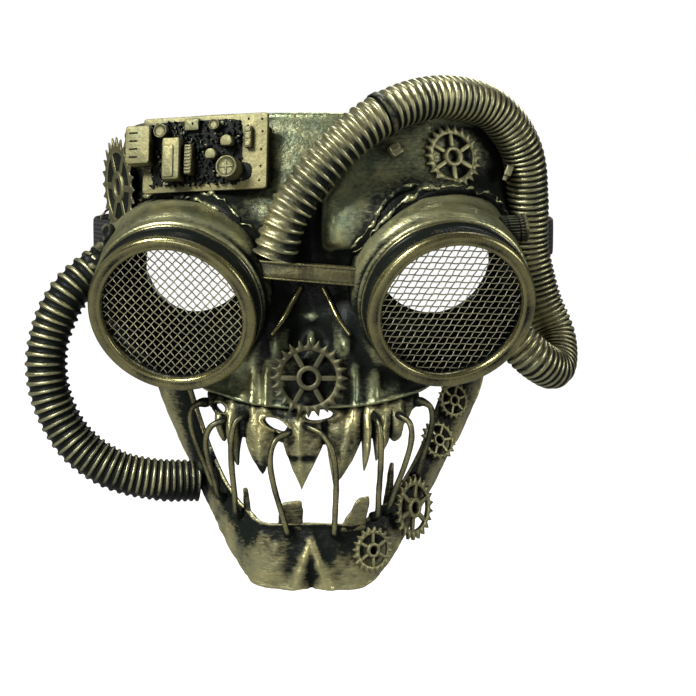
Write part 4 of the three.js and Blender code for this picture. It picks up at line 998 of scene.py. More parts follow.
def stacked(outline, low, high, edge, basis, seat, middle=(0.0, 0.0), raised_and_lit=(0.2, 0.75)):
    """A plate or block: the outline stacked from low to high, drawn in by the edge's round at both ends."""
    turn = np.linspace(0, np.pi / 2, 4)
    inset = np.concatenate([edge * (1 - np.sin(turn)), edge * (1 - np.cos(turn))])
    height = np.concatenate([low + edge * (1 - np.cos(turn)), high - edge * (1 - np.sin(turn))])
    size = np.abs(outline).max(0)
    flat = outline[None] * (1 - inset[:, None, None] / size) + np.asarray(middle)
    local = np.concatenate([flat, np.broadcast_to(height[:, None, None], flat.shape[:2] + (1,))], -1)
    return capped(local @ basis + seat, np.linspace(*raised_and_lit, len(height)))


def seat_axes(normal, spin=0.0):
    """Axes of a seat: across is level, up is as near to upright as it gets, and the third is the normal."""
    across = unit(np.cross((0, 0, 1), normal))
    upward = np.cross(normal, across)
    c, s = np.cos(spin), np.sin(spin)
    return np.stack([c * across + s * upward, c * upward - s * across, normal])


def facing(lean):
    """Axes of a seat that looks straight ahead and leans aside: across, up and ahead."""
    c, s = np.cos(lean), np.sin(lean)
    return np.array([[c, 0, s], [-s, 0, c], [0, -1.0, 0]])


def spun(angle):
    """Axes turned by an angle round the third one."""
    c, s = np.cos(angle), np.sin(angle)
    return np.array([[c, s, 0], [-s, c, 0], [0, 0, 1.0]])


print("points in a rounded outline:", len(superellipse(1.0, 1.0)))


# %% [markdown]
# # Rods and hoses
# A rod or a hose is a round section carried along a smooth path. The path runs through a few listed points,
# and is measured so that the sections stand at even distances. A corrugated hose is the
# same tube with a radius that swells and shrinks along it: round ribs with narrow dark valleys.

# %% Path tools
def smooth_path(points, spacing):
    """A centripetal curve through points, resampled at even distances along it."""
    points = np.asarray(points, float)
    padded = np.concatenate([[2 * points[0] - points[1]], points, [2 * points[-1] - points[-2]]])
    gaps = np.sqrt(np.linalg.norm(np.diff(padded, axis=0), axis=1))
    u = np.linspace(0, len(points) - 1, 60 * (len(points) - 1) + 1)
    i = np.minimum(u.astype(int), len(points) - 2)
    t = (u - i)[:, None]
    a, b, c, d = (padded[i + k] for k in range(4))
    g0, g1, g2 = (gaps[i + k][:, None] for k in range(3))
    first = ((b - a) / g0 - (c - a) / (g0 + g1) + (c - b) / g1) * g1
    second = ((c - b) / g1 - (d - b) / (g1 + g2) + (d - c) / g2) * g1
    dense = b + first * t + (3 * (c - b) - 2 * first - second) * t**2 + (2 * (b - c) + first + second) * t**3
    length = np.concatenate([[0], np.cumsum(np.linalg.norm(np.diff(dense, axis=0), axis=1))])
    even = np.linspace(0, length[-1], max(3, int(round(length[-1] / spacing)) + 1))
    return np.stack([np.interp(even, length, dense[:, k]) for k in range(3)], -1), even


def tube(path, radius, reference, sides):
    """Rings round a path: two directions square to it, the first as near to a reference as it gets."""
    tangent = unit(np.gradient(path, axis=0))
    first = unit(reference - (tangent @ reference)[:, None] * tangent)
    second = np.cross(tangent, first)
    angle = full_turn(sides)
    around = np.cos(angle)[:, None] * first[:, None, :] + np.sin(angle)[:, None] * second[:, None, :]
    return path[:, None, :] + np.asarray(radius, float).reshape(-1, 1, 1) * around


# %% Rods over the mouth
# Foot on the strip x, z; foot on the jaw along, up; swing aside and outwards.
RODS = [
    (-45.5, -60, -0.43, 0.75, -3, 2.5), (-35, -65.5, -0.38, 0.75, -5.5, 3),
    (-27.5, -63, -0.265, 0.85, -2.5, 4), (-8.5, -68.8, -0.05, 0.87, -7, 6),
    (-1.5, -66.2, 0.05, 0.87, 8.5, 6), (26, -63, 0.205, 0.96, 0.5, 6),
    (36, -63.5, 0.275, 0.92, 3, 5), (44.5, -59, 0.47, 0.85, 3, 2),
]
ROD_R, ROD_REACH, ROD_STOPS = 1.25, 2.6, (0.05, 0.13, 0.27, 0.5, 0.78)


def mouth_rod(top_x, top_z, along, up, sway, bow):
    """A bent rod: out of the strip, in a swing down the mouth, and into the jaw, thicker at both feet."""
    start, out = on_face(top_x, top_z, -1.0)
    end, jaw_out = on_jaw(along, up, -1.0)
    leave, arrive = start + out * (ROD_REACH + 1), end + jaw_out * (ROD_REACH + 1)
    flat_out = unit(out * (1, 1, 0))
    stops = np.array(ROD_STOPS)[:, None]
    swing = np.sin(np.pi * np.sqrt(stops)) * (np.array([sway, 0, 0]) + bow * flat_out)
    middle = leave + (arrive - leave) * stops + swing
    path, even = smooth_path(np.concatenate([[start, leave], middle, [arrive, end]]), 0.7)
    from_end = np.minimum(even, even[-1] - even)
    radius = ROD_R * (1 + 0.7 * bump(from_end - 1.5, 3.0)) + 0.12 * noise(path, 3.0)
    rings = tube(path, radius, unit(np.cross(out, arrive - leave)), 14)
    # Painted highlight along the rod's front and painted shade at its sides and behind; darker towards both
    # feet.
    front = step(-unit(rings - path[:, None])[..., 1], 0.3, 1.0)
    return capped(rings, 1.2 * front + (0.3 * step(from_end, 3, 9) + 0.3 * noise(path, 5.0) - 1.2)[:, None])


for number, row in enumerate(RODS, 1):
    add_piece(f"mouth_rod_{number}", mouth_rod(*row), rod_brass, [f"mouth_wire_{number}"])

# %% Hoses
LEFT_HOSE = [
    (-81.5, 38.5, -0.8), (-87, 35.5, -2.2), (-97, 29, -7.5), (-106.5, 24, -17), (-113.3, 22, -31),
    (-115.8, 20, -46), (-113, 19, -63), (-103, 18, -80.5), (-87, 18, -92), (-68, 21, -97), (-51, 25, -98),
]
MAIN_HOSE = [
    (-15, -16, 4), (-9, -17, 22), (3, -15, 39), (20, -10, 56), (38.5, 0, 66),
    (56.5, 11, 68.5), (75.5, 24, 62.5), (88, 34, 45.5), (91.2, 40, 24), (92, 44.5, 2),
    (97, 46, -19), (104, 43.5, -37), (103, 32, -48.5), (94, 22, -43), (84, 20, -33), (80, 20, -28.5),
]
# Spacing of the ribs at even shares of the length: the hose is drawn out in front and pushed together behind.
LEFT_PITCH = (4.4, 4.1, 3.8, 3.5, 3.1, 2.7)
MAIN_PITCH = (4.6, 4.3, 3.4, 2.9, 2.6, 2.6, 2.5, 2.4, 3.0)
HOSE_R, HOSE_ROOT_R, RINGS_PER_RIB, HOSE_SIDES = 9.2, 8.35, 10, 36
# Spacing at which a hose counts as pushed together, and as drawn out.
CLOSE_PITCH, DRAWN_PITCH = 2.5, 4.4
LEFT_PAINT, MAIN_PAINT = -1.15, -0.1
# The side from which light falls on the hoses, painted lighter there as painted highlight and darker away
# from it as painted shade, and the way the face looks.
LIT_SIDE_WAY = np.array([-0.5, -0.6, 0.6])
FACE_WAY = np.array([0.0, -1.0, 0.0])


def hose_path(route, pitches):
    """The hose's path with rings at even shares of each rib, and the rib count up to each ring."""
    path, even = smooth_path(route, 0.25)
    pitch = np.interp(even / even[-1], np.linspace(0, 1, len(pitches)), pitches)
    ribs = np.concatenate([[0], np.cumsum(np.diff(even) / (0.5 * (pitch[1:] + pitch[:-1])))])
    count = np.linspace(0, ribs[-1], int(ribs[-1] * RINGS_PER_RIB) + 1)
    return np.stack([np.interp(count, ribs, path[:, k]) for k in range(3)], -1), count


def hose(route, pitches, paint):
    """A corrugated hose: its radius is a wave of the rib count, with narrower ribs where it is drawn out."""
    path, count = hose_path(route, pitches)
    pitch = RINGS_PER_RIB * np.linalg.norm(np.gradient(path, axis=0), axis=-1)
    drawn_out = step(pitch, CLOSE_PITCH, DRAWN_PITCH)
    wave = np.cos(2 * np.pi * count)
    rib = step(wave, -0.7 + 0.65 * drawn_out, 0.4 + 0.45 * drawn_out)
    root = HOSE_ROOT_R - 0.5 * drawn_out
    radius = root + (HOSE_R - root) * (0.5 * rib + 0.25 + 0.25 * wave) + 0.15 * noise(path, 9.0)
    # Wear along the hose: random, from noise.
    wear_and_painted_light = 0.35 * rough(path, 14.0, 2)
    rings = tube(path, radius, FACE_WAY, HOSE_SIDES)
    # Painted highlight on the side of each rib that faces the light, and painted shade on the far side.
    lit_side = step(unit(rings - path[:, None]) @ LIT_SIDE_WAY, -0.35, 0.75)
    return capped(rings, 1.1 * lit_side + (paint - 0.65 + 1.1 * rib + wear_and_painted_light)[:, None])


# %% Ties and glue on the hoses
TIE_SHARE, TIE_HALF_WIDTH = 0.26, 1.3
TIE_HEAD_PLACE, TIE_LEAN = (82.5, 25.5, 37.0), -0.35
# Lumps of glue at both ends of the left hose: middle, reach, and size of the grain.
GLUE_LUMPS = [
    ((-95, 27, -3), (6, 6, 5), 5.0), ((-89, 27, 2), (5, 6, 5), 4.0), ((-88, 24, 9), (3, 5, 4.5), 3.0),
    ((-54, 22, -97), (5, 5, 8), 5.0), ((-47, 21, -89), (4, 4, 5), 4.0),
]


def hose_tie(route, share, half_width):
    """A flat cable tie round the hose at a share of its length: a closed band of four-cornered sections."""
    path, even = smooth_path(route, 0.25)
    at = int(share * (len(even) - 1))
    along = unit(path[at + 4] - path[at - 4])
    first = unit(FACE_WAY - along * (along @ FACE_WAY))
    second = np.cross(along, first)
    angle = full_turn(48)[:, None, None]
    section = np.array([(HOSE_R - 0.5, -1), (HOSE_R + 0.5, -1), (HOSE_R + 0.5, 1), (HOSE_R - 0.5, 1)])
    spoke = np.cos(angle) * first + np.sin(angle) * second
    return hoop(path[at] + section[:, :1] * spoke + section[:, 1:] * half_width * along, -0.15)


def tie_head(centre, lean):
    """The head of a cable tie: a small upright block, leaning over with the hose, and its cut tail."""
    basis, seat = facing(lean), np.array(centre)
    head, tail = superellipse(1.5, 2.2, 12.0, 40), superellipse(0.9, 1.2, 12.0, 24)
    return [stacked(head, -4.0, 1.8, 0.25, basis, seat, raised_and_lit=(0.2, 0.9)),
            stacked(tail, -4.0, 1.2, 0.2, basis, seat, (-0.4, -3.4), (0.2, 0.7))]


def lump(centre, reach, size):
    """A torn lump of glue: a ball whose radius is roughened by noise."""
    polar = np.linspace(0.12, np.pi - 0.12, 16)[:, None]
    way = round_axis(np.sin(polar), full_turn(24), np.cos(polar))
    points = np.asarray(centre) + way * np.asarray(reach)
    grain = rough(points, size, 3)
    return capped(points + way * (0.35 * min(reach) * grain)[..., None], 0.5 * grain - 0.35)


left_shells = [hose(LEFT_HOSE, LEFT_PITCH, LEFT_PAINT)] + [lump(*row) for row in GLUE_LUMPS]
add_piece("left_corrugated_hose", left_shells, hose_brass, ["left_hose"])
main_shells = [hose(MAIN_HOSE, MAIN_PITCH, MAIN_PAINT), hose_tie(MAIN_HOSE, TIE_SHARE, TIE_HALF_WIDTH)]
main_shells += tie_head(TIE_HEAD_PLACE, TIE_LEAN)
add_piece("main_corrugated_hose", main_shells, hose_brass, ["main_hose"])

# %% [markdown]
# # Goggles
# A goggle is turned on a lathe: a tube that grows out of the face, a rolled front ring, and a wire
# screen set into it. The tube's profile is carried round its axis, and each line of it stops where it
# meets the skin, which is found by halving the distance again and again.

# %% Goggle tubes and rings
# How far behind the front plane a line of the tube may meet the skin.
CUP_NEAR, CUP_FAR = 14.0, 78.0
# Profiles: radius, and place ahead of the front plane.
CUP_PROFILE = np.array([
    [33.4, -12.7], [35.6, -12.6], [36.6, -13.2], [36.9, -14.2], [36.5, -15.4], [35.9, -16.2], [35.9, -18.4],
    [36.4, -19.6], [37.2, -21.0], [37.6, -23.5], [37.4, -27.0], [36.9, -30.0], [36.8, -33.0],
])
# The ring's rows: radius, place ahead, and how much of the paint is left there.
RIM_ROWS = np.array([
    [29.8, -4.4, -0.8], [29.8, -2.2, -0.2], [29.9, -1.3, 0.6], [30.3, -0.6, 0.8], [31.0, -0.25, 0.4],
    [31.8, -0.4, -0.4], [32.6, -0.25, -0.2], [33.6, 0.0, 0.1], [34.6, -0.35, 0.3], [35.3, -1.0, 0.3],
    [35.6, -1.9, 0.0], [35.5, -3.0, -0.6], [35.0, -3.8, -1.0], [34.8, -4.6, -1.1], [34.8, -8.0, -0.9],
    [34.8, -11.0, -1.1], [35.3, -11.3, -0.5], [35.9, -11.6, 0.3], [36.0, -12.1, 0.3], [35.9, -12.5, -0.6],
    [31.8, -12.5, -1.4], [31.8, -4.4, -1.4],
])


def turned(profile, goggle, around=160):
    """A closed profile carried once round a goggle's axis."""
    angle = full_turn(around)[:, None]
    return from_goggle(round_axis(profile[:, 0], angle, profile[:, 1]), goggle)


def meets_face(radius, goggle, angle):
    """How far ahead a line of the tube meets the skin: the middle of a bracket, halved twenty times."""
    near, far = np.full(angle.shape, -CUP_NEAR), np.full(angle.shape, -CUP_FAR)
    for _ in range(20):
        middle = 0.5 * (near + far)
        point = from_goggle(round_axis(radius, angle, middle), goggle)
        behind = point[..., 1] > face_depth(point[..., 0], point[..., 2])
        near, far = np.where(behind, near, middle), np.where(behind, middle, far)
    return middle


# %% The tube's wall
# Lines round the tube, and points of a line behind the turned front and inside.
TUBE_AROUND, TUBE_BACK, TUBE_INSIDE = 240, 28, 8


def goggle_tube(word, goggle):
    """The tube's wall: a turned front, lines back to the skin that spread at the foot, and the inside."""
    angle = full_turn(TUBE_AROUND)
    foot = foot_radius(word, angle)
    first, last = CUP_PROFILE[0], CUP_PROFILE[-1]
    stop = np.minimum(meets_face(foot, goggle, angle) - 1.2, last[1] - 0.5)[:, None]
    foot = foot[:, None]
    back, inward = np.linspace(0, 1, TUBE_BACK)[1:], np.linspace(0, 1, TUBE_INSIDE)
    front = np.broadcast_to(CUP_PROFILE, (TUBE_AROUND, *CUP_PROFILE.shape))
    back_radius = CUP_RADIUS + (foot - CUP_RADIUS) * back**1.2
    inside_radius = np.minimum(first[0], foot - 2.0) + 0 * inward
    radius = np.concatenate([front[..., 0], back_radius, inside_radius], 1)
    back_ahead = last[1] + (stop - last[1]) * back
    inside_ahead = stop + (first[1] - stop) * inward
    ahead = np.concatenate([front[..., 1], back_ahead, inside_ahead], 1)
    outside = np.arange(ahead.shape[1]) < ahead.shape[1] - TUBE_INSIDE
    turn = np.broadcast_to(angle[:, None], ahead.shape)
    points = from_goggle(round_axis(radius, turn, ahead), goggle)
    dent = 0.35 * noise(points, 14.0) + 0.15 * rough(points, 4.0, 2)
    spoke = round_axis(1.0, turn, 0.0) @ goggle["axes"]
    points = points + spoke * (dent * outside * step(-ahead, 14, 20))[..., None]
    # Lighter on the tube's upper and outer side, and darker on its inner side and towards the skin: paint,
    # with painted light and painted shade over it. Along the profile, lighter on the bulge and the thin front
    # edge, as paint and painted highlight, and darker in the groove.
    wear_and_painted_light = 0.35 * np.sin(turn) + 0.4 * goggle["side"] * np.cos(turn) - 0.4 * step(-ahead, 28, 44)
    bands = 0.5 * bump(ahead + 24, 4.0) + 0.2 * bump(ahead + 13.6, 0.8) - 0.6 * bump(ahead + 17.3, 1.6)
    raised_and_lit = np.where(outside, 0.3 + wear_and_painted_light + bands + 0.25 * rough(points, 9.0, 2), 0.0)
    shell = hoop(points, raised_and_lit)
    shell["inside"] = np.broadcast_to(np.where(outside, 0.0, 1.0), ahead.shape).reshape(-1).copy()
    return shell


# %% Torn lips, and the goggles' pieces
# Torn lips of plastic along the foot of each tube: first and last angle in degrees, distance from the foot.
TORN_LIPS = {"left": [(30, 172, 0.3), (36, 84, 3.0)], "right": [(24, 158, 0.3), (104, 156, 3.0)]}
LIP_RINGS, LIP_SIDES = 260, 10


def torn_lip(word, goggle, first, last, away):
    """A ragged rope along the foot of a tube: a thin section, whose size and place noise throws about."""
    angle = np.radians(np.linspace(first, last, LIP_RINGS))
    radius = foot_radius(word, angle) + 0.2 + away
    ahead = meets_face(radius, goggle, angle)
    path = from_goggle(round_axis(radius, angle, ahead), goggle)
    spoke, axis = round_axis(1.0, angle, 0.0) @ goggle["axes"], goggle["axes"][2]
    x, z = path[:, 0], path[:, 2]
    lift = round_goggles(path) + LOBE_HEIGHT * forehead_lobe(x, z) + 0.6
    path = path + face_normal(turn_at(x, z), z) * lift[:, None]
    path = path + 1.8 * rough(path, 5.0, 3)[:, None] * spoke + noise(path, 4.0)[:, None] * axis
    taper = np.sin(np.linspace(0.2, np.pi - 0.2, LIP_RINGS))
    size = np.clip(0.8 + 1.1 * rough(path + 50.0, 4.5, 3), 0.2, 2.0) * taper
    return capped(tube(path, size, axis, LIP_SIDES), 0.35 + noise(path, 2.5))


for word, goggle in GOGGLES.items():
    lips = [torn_lip(word, goggle, *row) for row in TORN_LIPS[word]]
    add_piece(f"{word}_goggle_tube", [goggle_tube(word, goggle)] + lips, tube_brass, [f"{word}_goggle_cup"])
    ring = turned(RIM_ROWS, goggle)
    worn_ring = hoop(ring, RIM_ROWS[:, 2] + 0.35 * rough(ring, 10.0, 2))
    add_piece(f"{word}_goggle_ring", worn_ring, trim_brass, [f"{word}_goggle_rim"])

# %% [markdown]
# # Wire screens
# The screens are woven wire. Each wire is a thin tube that goes over one crossing wire and under the
# next, so its height is a wave, and its neighbour's wave is the other way up. On this mask the weave is
# not quite square, so each family of wires has its own direction.

# %% Wire screens
SCREEN_R, SCREEN_AHEAD, SCREEN_WIRE_R, WEAVE_HEIGHT = 31.2, -5.2, 0.29, 0.28
# Spacing of the wires, and the directions of the two families in degrees.
SCREEN_WEAVE = {"left": (2.75, 46.0, -50.0), "right": (2.85, -3.0, 64.0)}
# Painted light round a wire, from its front: a painted highlight ahead, and painted shade at the sides and
# behind.
WIRE_PAINTED_LIGHT = np.array([-0.2, -1.9, -3.0, -3.0, -1.9])


def woven_wires(goggle, pitch, way, other, phase):
    """All wires of one family, side by side, each cut to its chord of the round frame."""
    along = np.array([np.cos(way), np.sin(way)])
    beside = np.array([-along[1], along[0]])
    skew = np.cos(other - way) / np.sin(other - way)
    period = pitch / abs(np.sin(other - way))
    shells = []
    for k in np.arange(-int(SCREEN_R / pitch), int(SCREEN_R / pitch) + 1):
        offset = (k + 0.5 * phase) * pitch
        half = np.sqrt(max(SCREEN_R**2 - offset**2, 0.0))
        if half < pitch:
            continue
        s = np.linspace(-half, half, int(2 * half / period * 4) + 2)
        height = WEAVE_HEIGHT * np.cos(np.pi * ((s - skew * offset) / period + k + phase))
        flat = offset * beside + s[:, None] * along
        local = np.concatenate([flat, (SCREEN_AHEAD + height)[:, None]], 1)
        path = from_goggle(local, goggle)
        rings = tube(path, np.full(len(s), SCREEN_WIRE_R), goggle["axes"][2], len(WIRE_PAINTED_LIGHT))
        # Each wire takes the painted highlight along its front and painted shade round the rest.
        shells.append(capped(rings, WIRE_PAINTED_LIGHT[None, :]))
    return shells


for word, goggle in GOGGLES.items():
    pitch, first, second = SCREEN_WEAVE[word]
    first, second = np.radians([first, second])
    wires = woven_wires(goggle, pitch, first, second, 0) + woven_wires(goggle, pitch, second, first, 1)
    add_piece(f"{word}_wire_screen", wires, wire_brass, [f"{word}_screen"])

# %% [markdown]
# # Gears
# The gears are flat and spoked, with thorn-like teeth. A ring whose outer radius follows the teeth,
# a hub and a few bars are enough: they run into each other as cast metal does.

# %% Gears
GEAR_ROOT, GEAR_RIM, GEAR_HUB, GEAR_BORE, GEAR_HALF_SPOKE = 0.83, 0.69, 0.315, 0.185, 0.065
GEAR_GAP = 0.3
# Place; then tip radius, teeth, spokes, thickness, lift over the seat, turn, and painted light: less paint on
# the nose gear as painted shade, more on the forehead and temple gears as painted highlight.
FACE_GEARS = {
    "nose_gear": ((-0.5, -47), (16.4, 24, 6, 2.6, 3.2, 0.0, -0.45)),
    "forehead_gear": ((57, 44.5), (13.8, 22, 6, 1.6, 2.0, 0.5, 0.15)),
}
TEMPLE_GEAR = ((-82.2, 32.0), (21.6, 24, 6, 0.9, 3.6, 0.0, 0.4))
TEMPLE_TURN = np.radians(3.0)
JAW_GEARS = {
    "jaw_gear_1": ((0.738, 0.8), (8.4, 18, 6, 1.6, 1.6, 0.2, 0.0)),
    "jaw_gear_2": ((0.613, 0.78), (9.0, 18, 6, 1.6, 1.6, 0.0, 0.0)),
    "jaw_gear_3": ((0.37, 0.5), (14.0, 22, 6, 1.8, 1.6, 0.3, 0.0)),
    "jaw_gear_4": ((0.145, 0.57), (10.0, 20, 6, 1.8, 1.6, 0.5, 0.0)),
}


def ring_section(inner, outer, low, high, edge):
    """A closed section between two radii, its corners cut by the edge: rows of radius and height."""
    start = inner + 0 * outer
    radii = [start, start, start + edge, outer - edge, outer, outer, outer - edge, start + edge]
    heights = [low + edge, high - edge, high, high, high - edge, low + edge, low, low]
    return np.stack(np.broadcast_arrays(np.stack(radii, -1), heights), -1)


# Paint at the eight corners of a ring's section.
RING_RAISED = np.array([0.15, 0.6, 0.75, 0.75, 0.6, 0.3, 0.1, 0.1])


def gear(seat, normal, tip, teeth, spokes, thick, lift, spin, paint, web=False):
    """A toothed ring, a hub ring with its post, bars between them, and perhaps a black web behind them."""
    basis = seat_axes(normal, spin)
    angle = full_turn(teeth * 14)
    phase = np.abs((angle * teeth / (2 * np.pi)) % 1 - 0.5) * 2
    outer = tip * (GEAR_ROOT + (1 - GEAR_ROOT) * np.clip((phase - 0.3) / 0.7, 0, 1) ** 1.1)

    def ring(inner, outside, low, high):
        section = ring_section(inner, outside, low, high, 0.22)
        local = round_axis(section[..., 0], angle[:, None], section[..., 1])
        return hoop(local @ basis + seat, RING_RAISED + paint)

    shells = [ring(tip * GEAR_RIM, outer, 0.0, thick),
              ring(tip * GEAR_BORE, np.full(angle.shape, tip * GEAR_HUB), -lift, thick + 0.4)]
    if web:
        disc = superellipse(0.8 * tip, 0.8 * tip, 2.0, 60)
        shells.append(stacked(disc, -0.2, 0.25, 0.1, basis, seat, raised_and_lit=(-3, -3)))
    length = tip * (GEAR_RIM - GEAR_HUB) / 2 + 0.5
    bar = superellipse(length, tip * GEAR_HALF_SPOKE, 6.0, 20)
    middle = (tip * (GEAR_RIM + GEAR_HUB) / 2, 0.0)
    painted = (0.2 + paint, 0.7 + paint)
    for turn in 2 * np.pi * np.arange(spokes) / spokes:
        shells.append(stacked(bar, 0.25, thick - 0.1, 0.18, spun(turn) @ basis, seat, middle, painted))
    return shells


for name, (place, sizes) in FACE_GEARS.items():
    # The nose gear takes the darker copy of the gear brass, as painted shade.
    finish = dark_brass if name == "nose_gear" else gear_brass
    add_piece(f"{name}_wheel", gear(*on_face(*place, GEAR_GAP + sizes[4]), *sizes), finish, [name])
for name, (place, sizes) in JAW_GEARS.items():
    add_piece(f"{name}_wheel", gear(*on_jaw(*place, GEAR_GAP + sizes[4]), *sizes), gear_brass, [name])
place, sizes = TEMPLE_GEAR
temple_seat, temple_out = on_face(*place, GEAR_GAP + sizes[4])
temple_shells = gear(temple_seat, spun(TEMPLE_TURN) @ temple_out, *sizes, web=True)
add_piece("temple_gear_wheel", temple_shells, gear_brass, ["temple_gear"])

# %% [markdown]
# # Bridge, nose rods and knob
# A flat bar joins the goggles, and two thin rods run down beside the nose from it. The knob on the outer
# side of the right goggle is turned, with a knurled edge: its radius is a wave round the axis.

# %% Bridge
BAR_HALF, BAR_HEIGHT, BAR_THICK = 27.0, 8.0, 3.0
BAR_PLACE, BAR_LEAN = np.array([1.8, -13.0, -3.0]), np.radians(-4.5)
# Lips along the bar: half height, how far it stands out, place up the bar, paint.
BAR_LIPS = [(0.6, 0.5, BAR_HEIGHT / 2 - 0.7, (0.2, 0.7)), (0.5, 0.4, 0.6 - BAR_HEIGHT / 2, (0.1, 0.6))]
bar_axes = facing(BAR_LEAN)
bar = superellipse(BAR_HALF, BAR_HEIGHT / 2, 12.0, 96)
bar_shells = [stacked(bar, -BAR_THICK / 2, BAR_THICK / 2, 0.5, bar_axes, BAR_PLACE, raised_and_lit=(-0.5, 0.0))]
for lip_half, stands_out, up, paint in BAR_LIPS:
    lip = superellipse(BAR_HALF, lip_half, 12.0, 48)
    bar_shells.append(stacked(lip, 0, BAR_THICK / 2 + stands_out, 0.3, bar_axes, BAR_PLACE, (0, up), paint))
add_piece("goggle_bridge", bar_shells, trim_brass, ["bridge_bar"])

# %% Nose rods
NOSE_ROD_R = 1.25
part = np.linspace(0, 1, 4)
for side, word in ((-1, "left"), (1, "right")):
    rod_points, rod_out = on_face(side * (4.5 + 10.5 * part), -10 - 19 * part, NOSE_ROD_R + 0.6)
    path, even = smooth_path(rod_points, 0.6)
    rod = tube(path, NOSE_ROD_R * (1 - 0.25 * even / even[-1]), rod_out[0], 12)
    add_piece(f"{word}_nose_bar", capped(rod, 0.6), trim_brass, [f"{word}_nose_rod"])

# %% Knob
KNOB_KNURLS, KNOB_SEAT_R, KNOB_BEHIND = 26, 37.2, 33.0
KNOB_ANGLE, KNOB_LEAN = np.radians([35.0, 4.0])
right = GOGGLES["right"]
knob_seat = from_goggle(round_axis(KNOB_SEAT_R, KNOB_ANGLE, -KNOB_BEHIND), right)
knob_axes = seat_axes(round_axis(1.0, KNOB_LEAN, 0.0) @ right["axes"])
# Rows of the knob: height, radius, and share of the knurls.
KNOB_ROWS = np.array([
    [-3.5, 5.4, 1], [-1.6, 5.9, 1], [-1.3, 5.0, 0.5], [-0.9, 5.0, 0.5], [-0.6, 5.6, 1], [3.4, 5.6, 1],
    [3.7, 5.0, 0.5], [4.1, 5.0, 0.5], [4.4, 5.9, 1], [5.6, 5.9, 1], [5.8, 5.3, 0], [6.6, 6.1, 0],
    [7.2, 6.0, 0], [7.3, 5.0, 0], [6.8, 4.4, 0],
])


def knob():
    """A knurled drum with a grooved middle: each row's radius, less a wave round the axis."""
    height, size, share = (KNOB_ROWS[:, [k]] for k in range(3))
    angle = full_turn(KNOB_KNURLS * 8)
    wave = np.cos(angle * KNOB_KNURLS)
    radius = size - 0.6 * share * (0.5 - 0.5 * wave)
    points = round_axis(radius, angle, height) @ knob_axes + knob_seat
    return capped(points, 0.2 + share * (0.5 * wave - 0.35))


add_piece("valve_knob", knob(), board_brass, ["side_knob"])

# %% [markdown]
# # Circuit board
# On the forehead sits a small circuit board, cast with its parts and brushed with the same paint. The
# plate keeps clear of the forehead on a boss. The parts are blocks and cans, each with what makes it
# known: slits in the plug, a groove round a can, the pressed cross of a vent on the large one.

# %% Circuit board
BOARD_X, BOARD_Z, BOARD_LIFT, BOARD_ROLL = -42.5, 44.0, 6.5, 0.07
BOARD_YAW, BOARD_TILT = np.radians([18.0, 14.0])
BOARD_LENGTH, BOARD_HEIGHT, BOARD_THICK = 56.0, 32.0, 1.8
board_normal = np.array([-np.cos(BOARD_TILT) * np.sin(BOARD_YAW), -np.cos(BOARD_TILT) * np.cos(BOARD_YAW),
                         np.sin(BOARD_TILT)])
board_axes = seat_axes(board_normal, BOARD_ROLL)
board_seat, _ = on_face(BOARD_X, BOARD_Z, BOARD_LIFT)
TOP = BOARD_THICK / 2
BOARD_HOLES = [
    (19.5, 13.6), (19.2, 10.6), (25.6, 13.2), (25.8, 8.0), (25.4, 0.5), (25.2, -6.5), (24.8, -12.5),
]
CRUMBS, CRUMB_SEED = 420, 21


def on_board(outline, u, v, low, high, edge=0.4, raised_and_lit=(0.1, 0.8)):
    """A stacked outline at a place on the board, from one height over the board's top to another."""
    return stacked(outline, TOP + low, TOP + high, edge, board_axes, board_seat, (u, v), raised_and_lit)


def board_plate():
    """The plate, its boss, and the crumbs of small parts and solder between the larger ones."""
    plate = superellipse(BOARD_LENGTH / 2, BOARD_HEIGHT / 2, 60.0, 160)
    inner = superellipse(BOARD_LENGTH / 2 - 3, BOARD_HEIGHT / 2 - 3, 24.0, 80)
    boss = stacked(inner, -14.0, -TOP + 0.3, 0.3, board_axes, board_seat, raised_and_lit=(0.0, 0.1))
    x, y, z = boss["points"].T
    boss["points"][:, 1] = np.minimum(y, face_depth(x, z) + 1.2)
    shells = [stacked(plate, -TOP, TOP, 0.35, board_axes, board_seat, raised_and_lit=(0.2, 0.75)), boss]
    # Dark sheets on the plate: the dark ground between the larger parts, partly painted shade there, and a
    # painted shadow by the large can.
    shells.append(on_board(superellipse(20.5, 13.4, 10.0, 60), -3.5, 0.6, -0.3, 0.12, 0.1, (-0.9, -0.45)))
    shells.append(on_board(superellipse(6.0, 4.0, 3.0, 30), 15.5, -8.5, -0.3, 0.1, 0.1, (-1.6, -1.2)))
    draw = np.random.default_rng(CRUMB_SEED)
    for _ in range(CRUMBS):
        u, v = draw.uniform(-24, 17), draw.uniform(-13.5, 13.5)
        size, tall = draw.uniform(0.2, 0.8, 2), draw.uniform(0.3, 3.0)
        paint = draw.choice([-1.2, -0.6, -0.1, 0.5])
        shells.append(on_board(superellipse(*size, 6.0, 8), u, v, -0.2, tall, 0.12, (-1.0, paint)))
    for u, v in BOARD_HOLES:
        shells.append(on_board(superellipse(0.55, 0.55, 2.0, 10), u, v, -0.3, 0.06, 0.05, (-2.0, -2.0)))
    return shells


add_piece("forehead_board", board_plate(), board_brass, ["circuit_board"])

